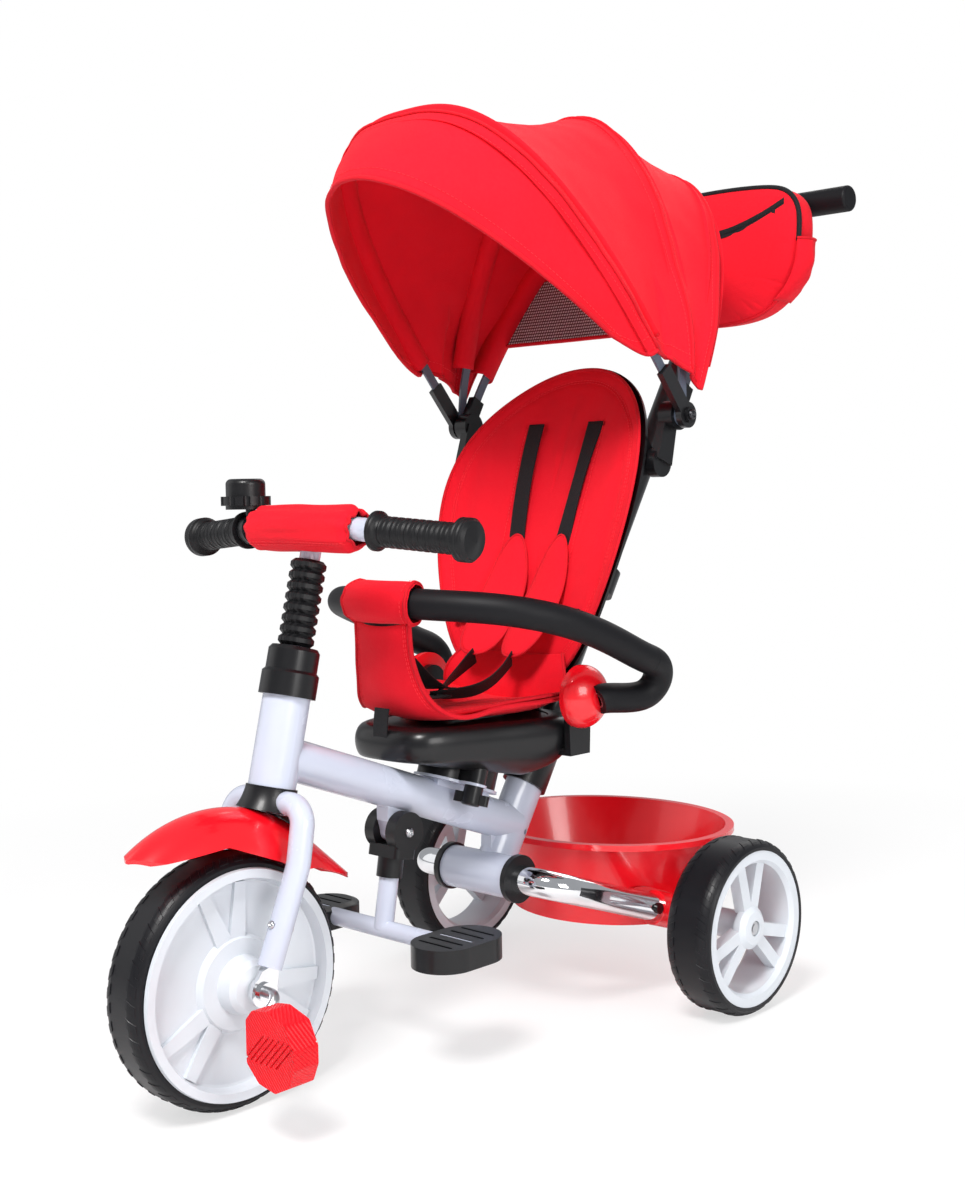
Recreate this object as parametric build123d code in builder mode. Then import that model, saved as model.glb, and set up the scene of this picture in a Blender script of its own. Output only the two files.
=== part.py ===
from build123d import *
import os
from math import atan2, cos, degrees, hypot, pi, radians, sin, tan

# Children's tricycle with parent handle, canopy and guard bar. Millimetres, +Z up, the floor at Z = 0.
# The front wheel is towards -Y. +X is the child's left.
os.makedirs("parts", exist_ok=True)

# ------------------------------------------------------------------ driving dimensions
running_clearance = 0.05       # radial, shaft in bore
seat_gap = 0.2                 # between pieces that rest on each other
soft_gap = 0.4                 # fabric and foam to their neighbours

# front wheel
front_tyre_radius = 128.0
front_tyre_width = 52.0
front_rim_radius = 117.0
front_seat_radius = 110.0      # where the tyre sits on the rim
front_rim_width = 62.0
front_axle_y = -398.5

# rear wheels
rear_tyre_radius = 102.0
rear_tyre_width = 59.0
rear_rim_radius = 91.0
rear_seat_radius = 84.0
rear_track = 451.0             # between the middles of the rear tyres
rear_axle_y = 173.0
rear_axle_radius = 5.0
rim_spoke_groups = 3

# steering
steering_rake = 14.1           # degrees that the steering axis leans back
head_bottom_y = -333.0
head_bottom_z = 315.0
head_tube_radius = 25.0
head_tube_bore = 22.0
head_tube_length = 112.0
steerer_radius = 14.0
steerer_bore = 11.05
stem_radius = 11.0
fork_tube_radius = 12.5
fork_tube_wall = 1.6
fork_leg_x = 60.0
fork_shoulder_x = 55.0
fork_end_y = -390.0
fork_end_z = 150.0
fork_knee_y = -350.0
fork_knee_z = 245.0
fork_crown_y = -336.6
fork_crown_z = 301.0
crown_drop = -16.0             # the crown tube below the foot of the head tube
steerer_top = 140.0
cap_top = 146.0
cover_top = -1.8
cover_bottom = -46.0
bellows_top = 238.0
tip_boss_x = 50.3
handlebar_radius = 12.25
handlebar_end = (215.0, -253.0, 568.0)
handlebar_flat_x = 70.0        # half length of the straight middle
handlebar_middle_y = -279.0
handlebar_middle_z = 580.0
grip_length = 115.0
grip_radius = 16.0
bellows_radius = 19.0
bellows_ribs = 8

bell_foot_z = 604.0
bell_ring_radius = 27.0

# fender, (y, z) points
fender_centre = (-410.0, 135.0)
fender_radius = 169.0
fender_half_width = 38.0
fender_depth = 46.0
fender_wall = 3.0
fender_tip = (-513.0, 269.0)
fender_break = (-297.0, 260.0)
fender_tail = (-231.0, 203.0)
fender_lower_edge = [
    (-513.0, 264.0), (-488.0, 266.0), (-417.0, 271.0), (-355.0, 246.0), (-327.0, 232.0),
    (-303.0, 230.0), (-265.0, 215.0), (-231.0, 196.0),
]

# pedals
crank_length = 46.0
crank_angle = 43.0             # degrees ahead of straight down
crank_rod_radius = 5.5
crank_x = 81.0
pedal_width = 70.0
pedal_height = 76.0
pedal_thickness = 30.0

# frame
frame_wall = 2.0               # of the steel tubes
main_tube_radius = 22.5
main_tube_slope = 0.363        # fall per millimetre to the rear
main_tube_z = 338.0            # height of its axis at main_tube_y
main_tube_y = -302.0
seat_tube_y = -3.0             # axis at seat_tube_z
seat_tube_z = 166.0
seat_tube_lean = 0.622         # millimetres back per millimetre up
seat_tube_depth = 52.0
seat_tube_breadth = 40.0
seat_tube_top_z = 285.0
pole_radius = 15.0
sleeve_y = -17.0
sleeve_z = 166.0
sleeve_radius = 25.0
sleeve_bore = 20.0
sleeve_half_length = 50.0
yoke_radius = 16.5
yoke_wall = 1.5
yoke_corner_x = 106.0
yoke_end_x = 132.0
yoke_end_y = 155.0
yoke_bend_radius = 34.0

# saddle, seat and backrest
saddle_top_z = 357.0
saddle_front_y = -172.0
saddle_rear_y = 50.0
saddle_nose_half = 58.0
saddle_rear_half = 106.0
saddle_plate_offset = 24.0     # above the axis of the main tube
saddle_plate_thickness = 3.0
seat_pad_thickness = 16.0
back_foot_y = 48.0
back_foot_z = 385.0
back_top_y = 190.0
back_top_z = 766.0
back_curve_radius = 289.0
back_shell_thickness = 3.5
back_pad_thickness = 13.0
back_half_width = 155.0
back_foot_half_width = 100.0
back_widest = 225.0            # distance up the backrest to its widest line

# guard bar
guard_pivot_y = 17.0
guard_pivot_z = 381.0
guard_dome_radius = 36.0
guard_dome_x = 122.0
guard_foam_radius = 17.0
guard_tube_radius = 9.5

# footrest
footrest_pivot_y = -162.0
footrest_pivot_z = 241.0
footrest_bar_y = -181.0
footrest_bar_z = 133.0
footrest_disc_radius = 22.5
footrest_bar_radius = 10.0
foot_pad_inner_x = 77.0
foot_pad_outer_x = 150.0
foot_pad_length = 108.0
foot_pad_thickness = 25.0

# parent handle
handle_z = 990.0
handle_half_width = 182.0
handle_foam_radius = 17.0
handle_tube_radius = 12.5
pole_foot_z = 205.0
bag_half_width = 138.0
bag_depth = 52.0
bag_top_z = 1012.0
bag_bottom_z = 842.0

# canopy
canopy_pivot_y = 141.0
canopy_pivot_z = 699.0
canopy_foot_y = 126.0
canopy_foot_z = 645.0
bow_width = 12.0
bow_thickness = 3.0
fabric_thickness = 1.5
front_bow = {"angle": 40.0, "reach": 424.0, "half": 183.0, "power": 2.85}
middle_bow = {"angle": -4.0, "reach": 366.0, "half": 179.0, "power": 1.85}
rear_bow = {"angle": -29.0, "reach": 356.0, "half": 170.0, "power": 2.1}
# the fabric's own outer line over each bow and at the visor's hem
front_seam = {"angle": 40.0, "reach": 427.5, "half": 191.0, "power": 2.85}
middle_seam = {"angle": -4.0, "reach": 372.0, "half": 190.0, "power": 1.85}
rear_seam = {"angle": -29.0, "reach": 361.0, "half": 187.0, "power": 2.2}
visor_hem = {"angle": 54.0, "reach": 427.0, "half": 182.0, "power": 1.95}
curtain_hem_z = 806.0

# basket
basket_middle_y = 208.0
basket_half_width = 172.0
basket_half_length = 148.0
basket_rim_z = 193.0
basket_floor_z = 86.0
basket_floor_share = 0.74
basket_wall = 3.0
axle_beam_depth = 36.0
axle_beam_height = 30.0

front_axle_z = front_tyre_radius
rear_axle_z = rear_tyre_radius
wheel_x = rear_track / 2


def side_plane(y, z, x=0.0):
    """A plane whose own X runs along the tricycle's X and whose own Y runs up."""
    return Plane(origin=(x, y, z), x_dir=(1, 0, 0), z_dir=(0, -1, 0))


def across_axis(y, z):
    """The axis along X through a point."""
    return Axis((0, y, z), (1, 0, 0))


def across_plane(x, y, z):
    """A plane square to X, its own X along the tricycle's Y and its own Y up."""
    return Plane(origin=(x, y, z), x_dir=(0, 1, 0), z_dir=(1, 0, 0))


def bent_tube(points, bend_radius, outer_radius, bore_radius=0.0):
    """A round tube along straight runs joined by bends."""
    with BuildPart() as tube:
        with BuildLine() as run:
            FilletPolyline(*points, radius=bend_radius)
        with BuildSketch(Plane(origin=run.line @ 0, z_dir=run.line % 0)):
            Circle(outer_radius)
            if bore_radius:
                Circle(bore_radius, mode=Mode.SUBTRACT)
        sweep(path=run.line)
    return tube.part


def cross_rod(y, z, x_low, x_high, radius):
    """A round rod along X, to be added or cut with add()."""
    with BuildPart() as rod:
        with BuildSketch(across_plane(x_low, y, z)):
            Circle(radius)
        extrude(amount=x_high - x_low)
    return rod.part


def closed_outline(plane, half_points):
    """A smooth outline, alike on both sides, from the points of its +X half."""
    with BuildSketch(plane) as outline:
        with BuildLine():
            far_side = [(-x, y) for x, y in reversed(half_points[1:-1])]
            Spline(*half_points, *far_side, periodic=True)
        make_face()
    return outline.sketch


# ------------------------------------------------------------------ steering axis
rake = radians(steering_rake)
STEER = Plane(
    origin=(0, head_bottom_y, head_bottom_z),
    x_dir=(1, 0, 0),
    z_dir=(0, sin(rake), cos(rake)),
)


def steer_rod(low, high, radius):
    """A round rod on the steering axis between two distances from the foot of the head tube."""
    with BuildPart() as rod:
        with BuildSketch(STEER.offset(low)):
            Circle(radius)
        extrude(amount=high - low)
    return rod.part


def steer_revolved(profile):
    """A body turned about the steering axis from (radius, distance) corners."""
    section_plane = Plane(origin=STEER.origin, x_dir=(1, 0, 0), z_dir=-STEER.y_dir)
    with BuildPart() as body:
        with BuildSketch(section_plane):
            with BuildLine():
                Polyline(*profile, close=True)
            make_face()
        revolve(axis=Axis(STEER.origin, STEER.z_dir))
    return body.part


# ------------------------------------------------------------------ main frame
seat_lean_length = hypot(1.0, seat_tube_lean)
seat_up = Vector(0, seat_tube_lean / seat_lean_length, 1 / seat_lean_length)


def seat_axis_point(z):
    return Vector(0, seat_tube_y + seat_tube_lean * (z - seat_tube_z), z)


def seat_plane(z):
    """A plane square to the seat tube and the push pole at a height."""
    return Plane(origin=seat_axis_point(z), x_dir=(1, 0, 0), z_dir=seat_up)


main_angle = atan2(main_tube_slope, 1.0)
main_dir = Vector(0, cos(main_angle), -sin(main_angle))
main_up = Vector(0, sin(main_angle), cos(main_angle))


def main_axis_z(y):
    return main_tube_z - main_tube_slope * (y - main_tube_y)


def main_surface_plane(y, lift):
    """A plane parallel to the main tube, a distance above its axis."""
    return Plane(origin=Vector(0, y, main_axis_z(y)) + main_up * lift, x_dir=(1, 0, 0), z_dir=main_up)


head_axis_y = head_bottom_y + tan(rake) * (main_tube_z - head_bottom_z)
main_start = Vector(0, head_axis_y, main_axis_z(head_axis_y))
main_end_y = (seat_tube_y - seat_tube_lean * seat_tube_z
              + seat_tube_lean * (main_tube_z + main_tube_slope * main_tube_y)) / (
                  1 + seat_tube_lean * main_tube_slope)
main_end = Vector(0, main_end_y, main_axis_z(main_end_y))
knob_x = 46.0
knob_y = -88.0
knob_shank_radius = 4.0
plate_middle_y = -72.0
plate_length = 112.0
tongue_half = 9.0
footrest_bolt_radius = 5.0

with BuildPart() as main_frame:
    # head tube
    with BuildSketch(STEER):
        Circle(head_tube_radius)
    extrude(amount=head_tube_length)
    # main tube down to the seat tube
    with BuildSketch(Plane(origin=main_start, x_dir=(1, 0, 0), z_dir=main_dir)):
        Circle(main_tube_radius)
    extrude(amount=(main_end - main_start).length)
    # flattened seat tube
    with BuildSketch(seat_plane(sleeve_z)):
        Ellipse(seat_tube_breadth / 2, seat_tube_depth / 2)
    extrude(amount=(seat_tube_top_z - sleeve_z) * seat_lean_length)
    # gusset ears that tie the tubes
    with BuildSketch(across_plane(0, 0, 0)):
        with BuildLine():
            Polyline(
                (sleeve_y + 2, sleeve_z + 8),
                (main_end.Y - 4, main_end.Z),
                (main_end.Y - 42, main_axis_z(main_end.Y - 42) - main_tube_radius + 4),
                close=True,
            )
        make_face()
    extrude(amount=8, both=True)
    # transverse sleeve
    add(cross_rod(sleeve_y, sleeve_z, -sleeve_half_length, sleeve_half_length, sleeve_radius))
    # saddle plate on its saddle block
    with BuildSketch(main_surface_plane(plate_middle_y, saddle_plate_offset)):
        SlotOverall(plate_length, 70, rotation=90)
        with Locations((knob_x, (knob_y - plate_middle_y) / cos(main_angle))):
            Circle(14)
        with Locations((knob_x - 14, (knob_y - plate_middle_y) / cos(main_angle))):
            Rectangle(28, 28)
    extrude(amount=saddle_plate_thickness)
    with BuildSketch(main_surface_plane(plate_middle_y, 12)):
        Rectangle(30, plate_length - 24)
    extrude(amount=saddle_plate_offset - 12)
    # footrest tongue under the main tube
    with BuildSketch(across_plane(-tongue_half, footrest_pivot_y, footrest_pivot_z)):
        Circle(13)
        with Locations((0, 26)):
            Rectangle(34, 26)
        with Locations((0, 8)):
            Trapezoid(34, 16, 75, rotation=180)
    extrude(amount=2 * tongue_half)
    # bores
    with BuildSketch(Plane(origin=main_start, x_dir=(1, 0, 0), z_dir=main_dir)):
        Circle(main_tube_radius - frame_wall)
    extrude(amount=(main_end - main_start).length, mode=Mode.SUBTRACT)
    add(steer_rod(-1, head_tube_length + 1, head_tube_bore), mode=Mode.SUBTRACT)
    add(cross_rod(sleeve_y, sleeve_z, -sleeve_half_length - 1, sleeve_half_length + 1, sleeve_bore),
        mode=Mode.SUBTRACT)
    with BuildSketch(seat_plane(pole_foot_z - 8)):
        Circle(pole_radius + running_clearance)
    extrude(amount=400, mode=Mode.SUBTRACT)
    add(cross_rod(footrest_pivot_y, footrest_pivot_z, -20, 20, footrest_bolt_radius + running_clearance),
        mode=Mode.SUBTRACT)
    knob_plane = main_surface_plane(knob_y, saddle_plate_offset)
    with BuildSketch(knob_plane.offset(-1)):
        with Locations((knob_x, 0)):
            Circle(knob_shank_radius + running_clearance)
    extrude(amount=saddle_plate_thickness + 2, mode=Mode.SUBTRACT)
    # sighting hole for the height pin in the near side of the seat tube
    add(cross_rod(seat_axis_point(207).Y + 14, 207, 2, 30, 3.5), mode=Mode.SUBTRACT)
main_frame.part.label = "main_frame"
export_step(main_frame.part, "parts/main_frame.step")

# ------------------------------------------------------------------ rear yoke, bushes, axle
yoke_fall = (rear_axle_z - sleeve_z) / (rear_axle_y - sleeve_y)
yoke_end_z = sleeve_z + yoke_fall * (yoke_end_y - sleeve_y)
yoke_end = Vector(yoke_end_x, yoke_end_y, yoke_end_z)
yoke_corner = Vector(yoke_corner_x, sleeve_y, sleeve_z)
yoke_dir = (yoke_end - yoke_corner).normalized()
yoke_points = [
    (-yoke_end_x, yoke_end_y, yoke_end_z),
    (-yoke_corner_x, sleeve_y, sleeve_z),
    (yoke_corner_x, sleeve_y, sleeve_z),
    (yoke_end_x, yoke_end_y, yoke_end_z),
]
rear_yoke_tube = bent_tube(yoke_points, yoke_bend_radius, yoke_radius, yoke_radius - yoke_wall)
yoke_core = bent_tube(yoke_points, yoke_bend_radius, yoke_radius + running_clearance)
with BuildPart() as rear_yoke:
    add(rear_yoke_tube)
rear_yoke.part.label = "rear_yoke"
export_step(rear_yoke.part, "parts/rear_yoke.step")

bush_flange_radius = 28.0
bush_flange = 7.0
bush_depth = 16.0
with BuildPart() as sleeve_bushes:
    for side in (-1, 1):
        face_x = side * (sleeve_half_length + seat_gap)
        flange_x = side * (sleeve_half_length + seat_gap + bush_flange)
        inner_x = side * (sleeve_half_length - bush_depth)
        add(cross_rod(sleeve_y, sleeve_z, min(face_x, flange_x), max(face_x, flange_x), bush_flange_radius))
        add(cross_rod(sleeve_y, sleeve_z, min(face_x, inner_x), max(face_x, inner_x),
                      sleeve_bore - running_clearance))
    add(cross_rod(sleeve_y, sleeve_z, -90, 90, yoke_radius + running_clearance), mode=Mode.SUBTRACT)
sleeve_bushes.part.label = "sleeve_bushes"
export_step(sleeve_bushes.part, "parts/sleeve_bushes.step")

# red beam that carries the rear axle and takes the ends of the yoke
wheel_inner_x = wheel_x - rear_tyre_width / 2
beam_half_length = wheel_inner_x - 2.5
socket_radius = yoke_radius + 4.5
socket_depth = 17.0
socket_plane = Plane(origin=yoke_end - yoke_dir * socket_depth, z_dir=yoke_dir)
left_yoke_end = Vector(-yoke_end.X, yoke_end.Y, yoke_end.Z)
left_yoke_dir = Vector(-yoke_dir.X, yoke_dir.Y, yoke_dir.Z)
left_socket_plane = Plane(origin=left_yoke_end - left_yoke_dir * socket_depth, z_dir=left_yoke_dir)
brake_x = 172.0
brake_width = 30.0
brake_pivot_y = rear_axle_y + 25.0
brake_pivot_z = rear_axle_z - 6.0
brake_pin_radius = 3.0
brake_boss_radius = 5.5
brake_ear = 3.0
with BuildPart() as axle_beam:
    # ears and pins of the brake levers
    for sign in (-1, 1):
        ear_inner_x = sign * brake_x - brake_width / 2 - brake_ear - 0.3
        for ear_x in (ear_inner_x, ear_inner_x + brake_width + brake_ear + 0.6):
            with BuildSketch(across_plane(ear_x, brake_pivot_y, brake_pivot_z)):
                Circle(6)
                with Locations((-7, 2)):
                    Rectangle(14, 12)
            extrude(amount=brake_ear)
        add(cross_rod(brake_pivot_y, brake_pivot_z, ear_inner_x, ear_inner_x + brake_width + 2 * brake_ear,
                      brake_pin_radius))
    with BuildSketch(across_plane(-beam_half_length, rear_axle_y, rear_axle_z)):
        RectangleRounded(axle_beam_depth, axle_beam_height, 8)
    extrude(amount=2 * beam_half_length)
    for plane in (socket_plane, left_socket_plane):
        with BuildSketch(plane):
            Circle(socket_radius)
        extrude(amount=socket_depth + 12)
    for plane in (socket_plane, left_socket_plane):
        with BuildSketch(plane.offset(-1)):
            Circle(yoke_radius + running_clearance)
        extrude(amount=socket_depth + 1 + seat_gap, mode=Mode.SUBTRACT)
    add(cross_rod(rear_axle_y, rear_axle_z, -250, 250, rear_axle_radius + running_clearance),
        mode=Mode.SUBTRACT)
axle_beam.part.label = "axle_beam"
export_step(axle_beam.part, "parts/axle_beam.step")

with BuildPart() as rear_axle:
    hub_outer_x = wheel_x + 27.0
    add(cross_rod(rear_axle_y, rear_axle_z, -hub_outer_x, hub_outer_x, rear_axle_radius))
rear_axle.part.label = "rear_axle"
export_step(rear_axle.part, "parts/rear_axle.step")

with BuildPart() as axle_caps:
    for side in (-1, 1):
        low_x = side * (hub_outer_x - 4)
        high_x = side * (hub_outer_x - 1)
        add(cross_rod(rear_axle_y, rear_axle_z, min(low_x, high_x), max(low_x, high_x), 8))
    add(cross_rod(rear_axle_y, rear_axle_z, -260, 260, rear_axle_radius + running_clearance / 2),
        mode=Mode.SUBTRACT)
axle_caps.part.label = "axle_caps"
export_step(axle_caps.part, "parts/axle_caps.step")

plug_radius = 6.5
plug_height = 4.0
with BuildPart() as yoke_plugs:
    for side in (-1, 1):
        middle = Vector(side * yoke_end.X, yoke_end.Y, yoke_end.Z) - Vector(
            side * yoke_dir.X, yoke_dir.Y, yoke_dir.Z) * (socket_depth + 11)
        out = Vector(side, 0, 0)
        with BuildSketch(Plane(origin=middle, z_dir=out)):
            Circle(plug_radius)
        extrude(amount=yoke_radius + plug_height)
    add(yoke_core, mode=Mode.SUBTRACT)
yoke_plugs.part.label = "yoke_plugs"
export_step(yoke_plugs.part, "parts/yoke_plugs.step")

# ------------------------------------------------------------------ basket
basket_rim_width = 9.0
basket_rim_height = 7.0


def basket_outline(height, share, inset=0.0):
    """The oval of the basket at a height, as a sketch."""
    with BuildSketch(Plane.XY.offset(height)) as outline:
        with Locations((0, basket_middle_y)):
            Ellipse(basket_half_width * share - inset, basket_half_length * share - inset)
    return outline.sketch


channel_half = axle_beam_depth / 2 + 1.5
channel_top = rear_axle_z + axle_beam_height / 2 + 1.0
with BuildPart() as basket_channel:
    with BuildSketch(Plane.XY.offset(0)):
        with Locations((0, rear_axle_y)):
            Rectangle(4 * basket_half_width, 2 * channel_half)
    extrude(amount=channel_top)
with BuildPart() as basket_hump:
    with BuildSketch(Plane.XY.offset(0)):
        with Locations((0, rear_axle_y)):
            Rectangle(4 * basket_half_width, 2 * (channel_half + basket_wall))
    extrude(amount=channel_top + basket_wall)
with BuildPart() as basket_form:
    loft(sections=[basket_outline(basket_floor_z, basket_floor_share), basket_outline(basket_rim_z, 0.955)])
with BuildPart() as basket_room:
    loft(sections=[
        basket_outline(basket_floor_z + basket_wall, basket_floor_share, basket_wall),
        basket_outline(basket_rim_z + 20, 0.955 + 0.04, basket_wall),
    ])
leg_clear = bent_tube(
    [(p[0], p[1] + (60 if p[1] > 0 else 0), p[2] + (60 * yoke_fall if p[1] > 0 else 0)) for p in yoke_points],
    yoke_bend_radius, yoke_radius + 6.0)
with BuildPart() as basket:
    add(basket_form.part)
    add(basket_room.part, mode=Mode.SUBTRACT)
    # raised floor over the axle beam, inside the walls
    add(basket_hump.part & basket_form.part)
    add(basket_channel.part, mode=Mode.SUBTRACT)
    # rolled rim
    with BuildSketch(Plane.XY.offset(basket_rim_z - basket_rim_height)):
        with Locations((0, basket_middle_y)):
            Ellipse(basket_half_width, basket_half_length)
            Ellipse(basket_half_width - basket_rim_width, basket_half_length - basket_rim_width,
                    mode=Mode.SUBTRACT)
    extrude(amount=basket_rim_height)
    # side notches where the yoke passes
    add(leg_clear, mode=Mode.SUBTRACT)
basket.part.label = "basket"
export_step(basket.part, "parts/basket.step")

# ------------------------------------------------------------------ rear wheels, brakes
for side, sign in (("left", 1), ("right", -1)):
    middle_x = sign * wheel_x
    rear_plane = side_plane(rear_axle_y, rear_axle_z, middle_x)
    rear_line = across_axis(rear_axle_y, rear_axle_z)
    half = rear_tyre_width / 2
    with BuildPart() as rear_tyre:
        with BuildSketch(rear_plane):
            with BuildLine():
                Polyline((-half + 2, rear_seat_radius), (half - 2, rear_seat_radius),
                         (half - 2, rear_rim_radius), (half, rear_rim_radius + 0.5),
                         (half, rear_rim_radius + 4))
                Spline((half, rear_rim_radius + 4), (half - 7, rear_tyre_radius - 1.6),
                       (0, rear_tyre_radius), (-half + 7, rear_tyre_radius - 1.6),
                       (-half, rear_rim_radius + 4))
                Polyline((-half, rear_rim_radius + 4), (-half, rear_rim_radius + 0.5),
                         (-half + 2, rear_rim_radius), (-half + 2, rear_seat_radius))
            make_face()
        revolve(axis=rear_line)
        # the rim's flanges sit in these rebates
        for edge in (-1, 1):
            with BuildSketch(across_plane(middle_x + edge * (half - 5), rear_axle_y, rear_axle_z)):
                Circle(rear_rim_radius + 0.1)
            extrude(amount=edge * 6, mode=Mode.SUBTRACT)
        add(cross_rod(rear_axle_y, rear_axle_z, middle_x - rear_tyre_width, middle_x + rear_tyre_width,
                      rear_tyre_radius), mode=Mode.INTERSECT)
    rear_tyre.part.label = f"rear_tyre_{side}"
    export_step(rear_tyre.part, f"parts/rear_tyre_{side}.step")

    with BuildPart() as rear_rim:
        with BuildSketch(rear_plane):
            with BuildLine():
                Polyline(
                    (-half + 1, rear_rim_radius), (-half + 4.8, rear_rim_radius),
                    (-half + 4.8, rear_seat_radius - 0.1), (half - 4.8, rear_seat_radius - 0.1),
                    (half - 4.8, rear_rim_radius), (half - 1, rear_rim_radius),
                    (half - 1, rear_seat_radius - 4), (half - 6, rear_seat_radius - 8),
                    (-half + 6, rear_seat_radius - 8), (-half + 1, rear_seat_radius - 4), close=True)
            make_face()
            # hub barrel and domed outer disc
            with BuildLine():
                Polyline(*[(sign * x, radius) for x, radius in (
                    (-half + 2, 4), (-half + 2, 17), (half - 18, 17), (half - 16, 25), (half - 8, 25),
                    (half - 3, 19), (half - 2, 10), (half - 2, 4))], close=True)
            make_face()
        revolve(axis=rear_line)
        # paired spokes
        spoke_face = middle_x + sign * (half - 22)
        with BuildSketch(across_plane(spoke_face, rear_axle_y, rear_axle_z)):
            for group in range(rim_spoke_groups):
                for lean in (-15, 15):
                    angle = 90 + 360 / rim_spoke_groups * group + lean
                    with Locations(Location((50 * cos(radians(angle)), 50 * sin(radians(angle)), 0),
                                            (0, 0, angle))):
                        Rectangle(58, 15)
        extrude(amount=sign * 14)
        add(cross_rod(rear_axle_y, rear_axle_z, -300, 300, rear_axle_radius + running_clearance),
            mode=Mode.SUBTRACT)
        # recess for the axle cap
        cap_low = sign * (hub_outer_x - 5)
        cap_high = sign * (hub_outer_x + 6)
        add(cross_rod(rear_axle_y, rear_axle_z, min(cap_low, cap_high), max(cap_low, cap_high), 9),
            mode=Mode.SUBTRACT)
    rear_rim.part.label = f"rear_rim_{side}"
    export_step(rear_rim.part, f"parts/rear_rim_{side}.step")

for side, sign in (("left", 1), ("right", -1)):
    inner_x = sign * brake_x - brake_width / 2
    with BuildPart() as brake_lever:
        with BuildSketch(across_plane(inner_x, brake_pivot_y, brake_pivot_z)):
            Circle(brake_boss_radius)
            with BuildLine():
                Polyline((0, brake_boss_radius), (34, 2), (46, -4), (44, -9), (30, -8), (0, -brake_boss_radius),
                         close=True)
            make_face()
        extrude(amount=brake_width)
        add(cross_rod(brake_pivot_y, brake_pivot_z, -200, 200, brake_pin_radius + running_clearance),
            mode=Mode.SUBTRACT)
    brake_lever.part.label = f"brake_lever_{side}"
    export_step(brake_lever.part, f"parts/brake_lever_{side}.step")
# ------------------------------------------------------------------ front wheel
front_plane = side_plane(front_axle_y, front_axle_z)
front_line = across_axis(front_axle_y, front_axle_z)
tyre_half = front_tyre_width / 2
rim_half = front_rim_width / 2
with BuildPart() as front_tyre:
    with BuildSketch(front_plane):
        with BuildLine():
            Polyline((-tyre_half + 2, front_seat_radius), (tyre_half - 2, front_seat_radius),
                     (tyre_half, front_rim_radius), (tyre_half, front_rim_radius + 4))
            Spline((tyre_half, front_rim_radius + 4), (tyre_half - 6, front_tyre_radius - 1.6),
                   (0, front_tyre_radius), (-tyre_half + 6, front_tyre_radius - 1.6),
                   (-tyre_half, front_rim_radius + 4))
            Polyline((-tyre_half, front_rim_radius + 4), (-tyre_half, front_rim_radius),
                     (-tyre_half + 2, front_seat_radius))
        make_face()
    revolve(axis=front_line)
    add(cross_rod(front_axle_y, front_axle_z, -front_tyre_width, front_tyre_width, front_tyre_radius),
        mode=Mode.INTERSECT)
front_tyre.part.label = "front_tyre"
export_step(front_tyre.part, "parts/front_tyre.step")

axle_bore = crank_rod_radius + 0.02
web_x = 17.0
rim_profile = [
    (0, front_seat_radius - 0.1), (tyre_half - 1.8, front_seat_radius - 0.1),
    (tyre_half + 0.3, front_rim_radius - 1), (tyre_half + 1.0, front_rim_radius),
    (rim_half, front_rim_radius - 1), (rim_half, front_rim_radius - 10),
    (rim_half - 6, front_rim_radius - 12), (web_x + 1, front_rim_radius - 13.5),
    (web_x, front_rim_radius - 16), (web_x, 50), (web_x + 7, 46), (web_x + 8, 30),
    (40, 27), (46, 22), (50, 12), (50, axle_bore), (0, axle_bore),
]
with BuildPart() as front_rim:
    with BuildSketch(front_plane):
        with BuildLine():
            Polyline(*rim_profile, close=True)
        make_face()
    revolve(axis=front_line)
    # raised spoke pairs on the closed disc
    with BuildSketch(across_plane(web_x - 1, front_axle_y, front_axle_z)):
        for group in range(rim_spoke_groups):
            for lean in (-12, 12):
                angle = 100 + 360 / rim_spoke_groups * group + lean
                with Locations(Location((75 * cos(radians(angle)), 75 * sin(radians(angle)), 0),
                                        (0, 0, angle - 90 + lean * 0.25))):
                    Trapezoid(19, 56, 87)
    extrude(amount=5.5)
    mirror(about=Plane.YZ)
front_rim.part.label = "front_rim"
export_step(front_rim.part, "parts/front_rim.step")

crank_down = Vector(0, -sin(radians(crank_angle)), -cos(radians(crank_angle)))
axle_middle = Vector(0, front_axle_y, front_axle_z)
left_pedal = axle_middle + crank_down * crank_length
right_pedal = axle_middle - crank_down * crank_length
crank_bend = 9.0
pedal_inner_x = crank_x + crank_bend + 0.5
spindle_end_x = pedal_inner_x + pedal_width - 6
with BuildPart() as crank_axle:
    add(bent_tube(
        [
            (-spindle_end_x, right_pedal.Y, right_pedal.Z), (-crank_x, right_pedal.Y, right_pedal.Z),
            (-crank_x, front_axle_y, front_axle_z), (crank_x, front_axle_y, front_axle_z),
            (crank_x, left_pedal.Y, left_pedal.Z), (spindle_end_x, left_pedal.Y, left_pedal.Z),
        ],
        crank_bend, crank_rod_radius))
crank_axle.part.label = "crank_axle"
export_step(crank_axle.part, "parts/crank_axle.step")

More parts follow.
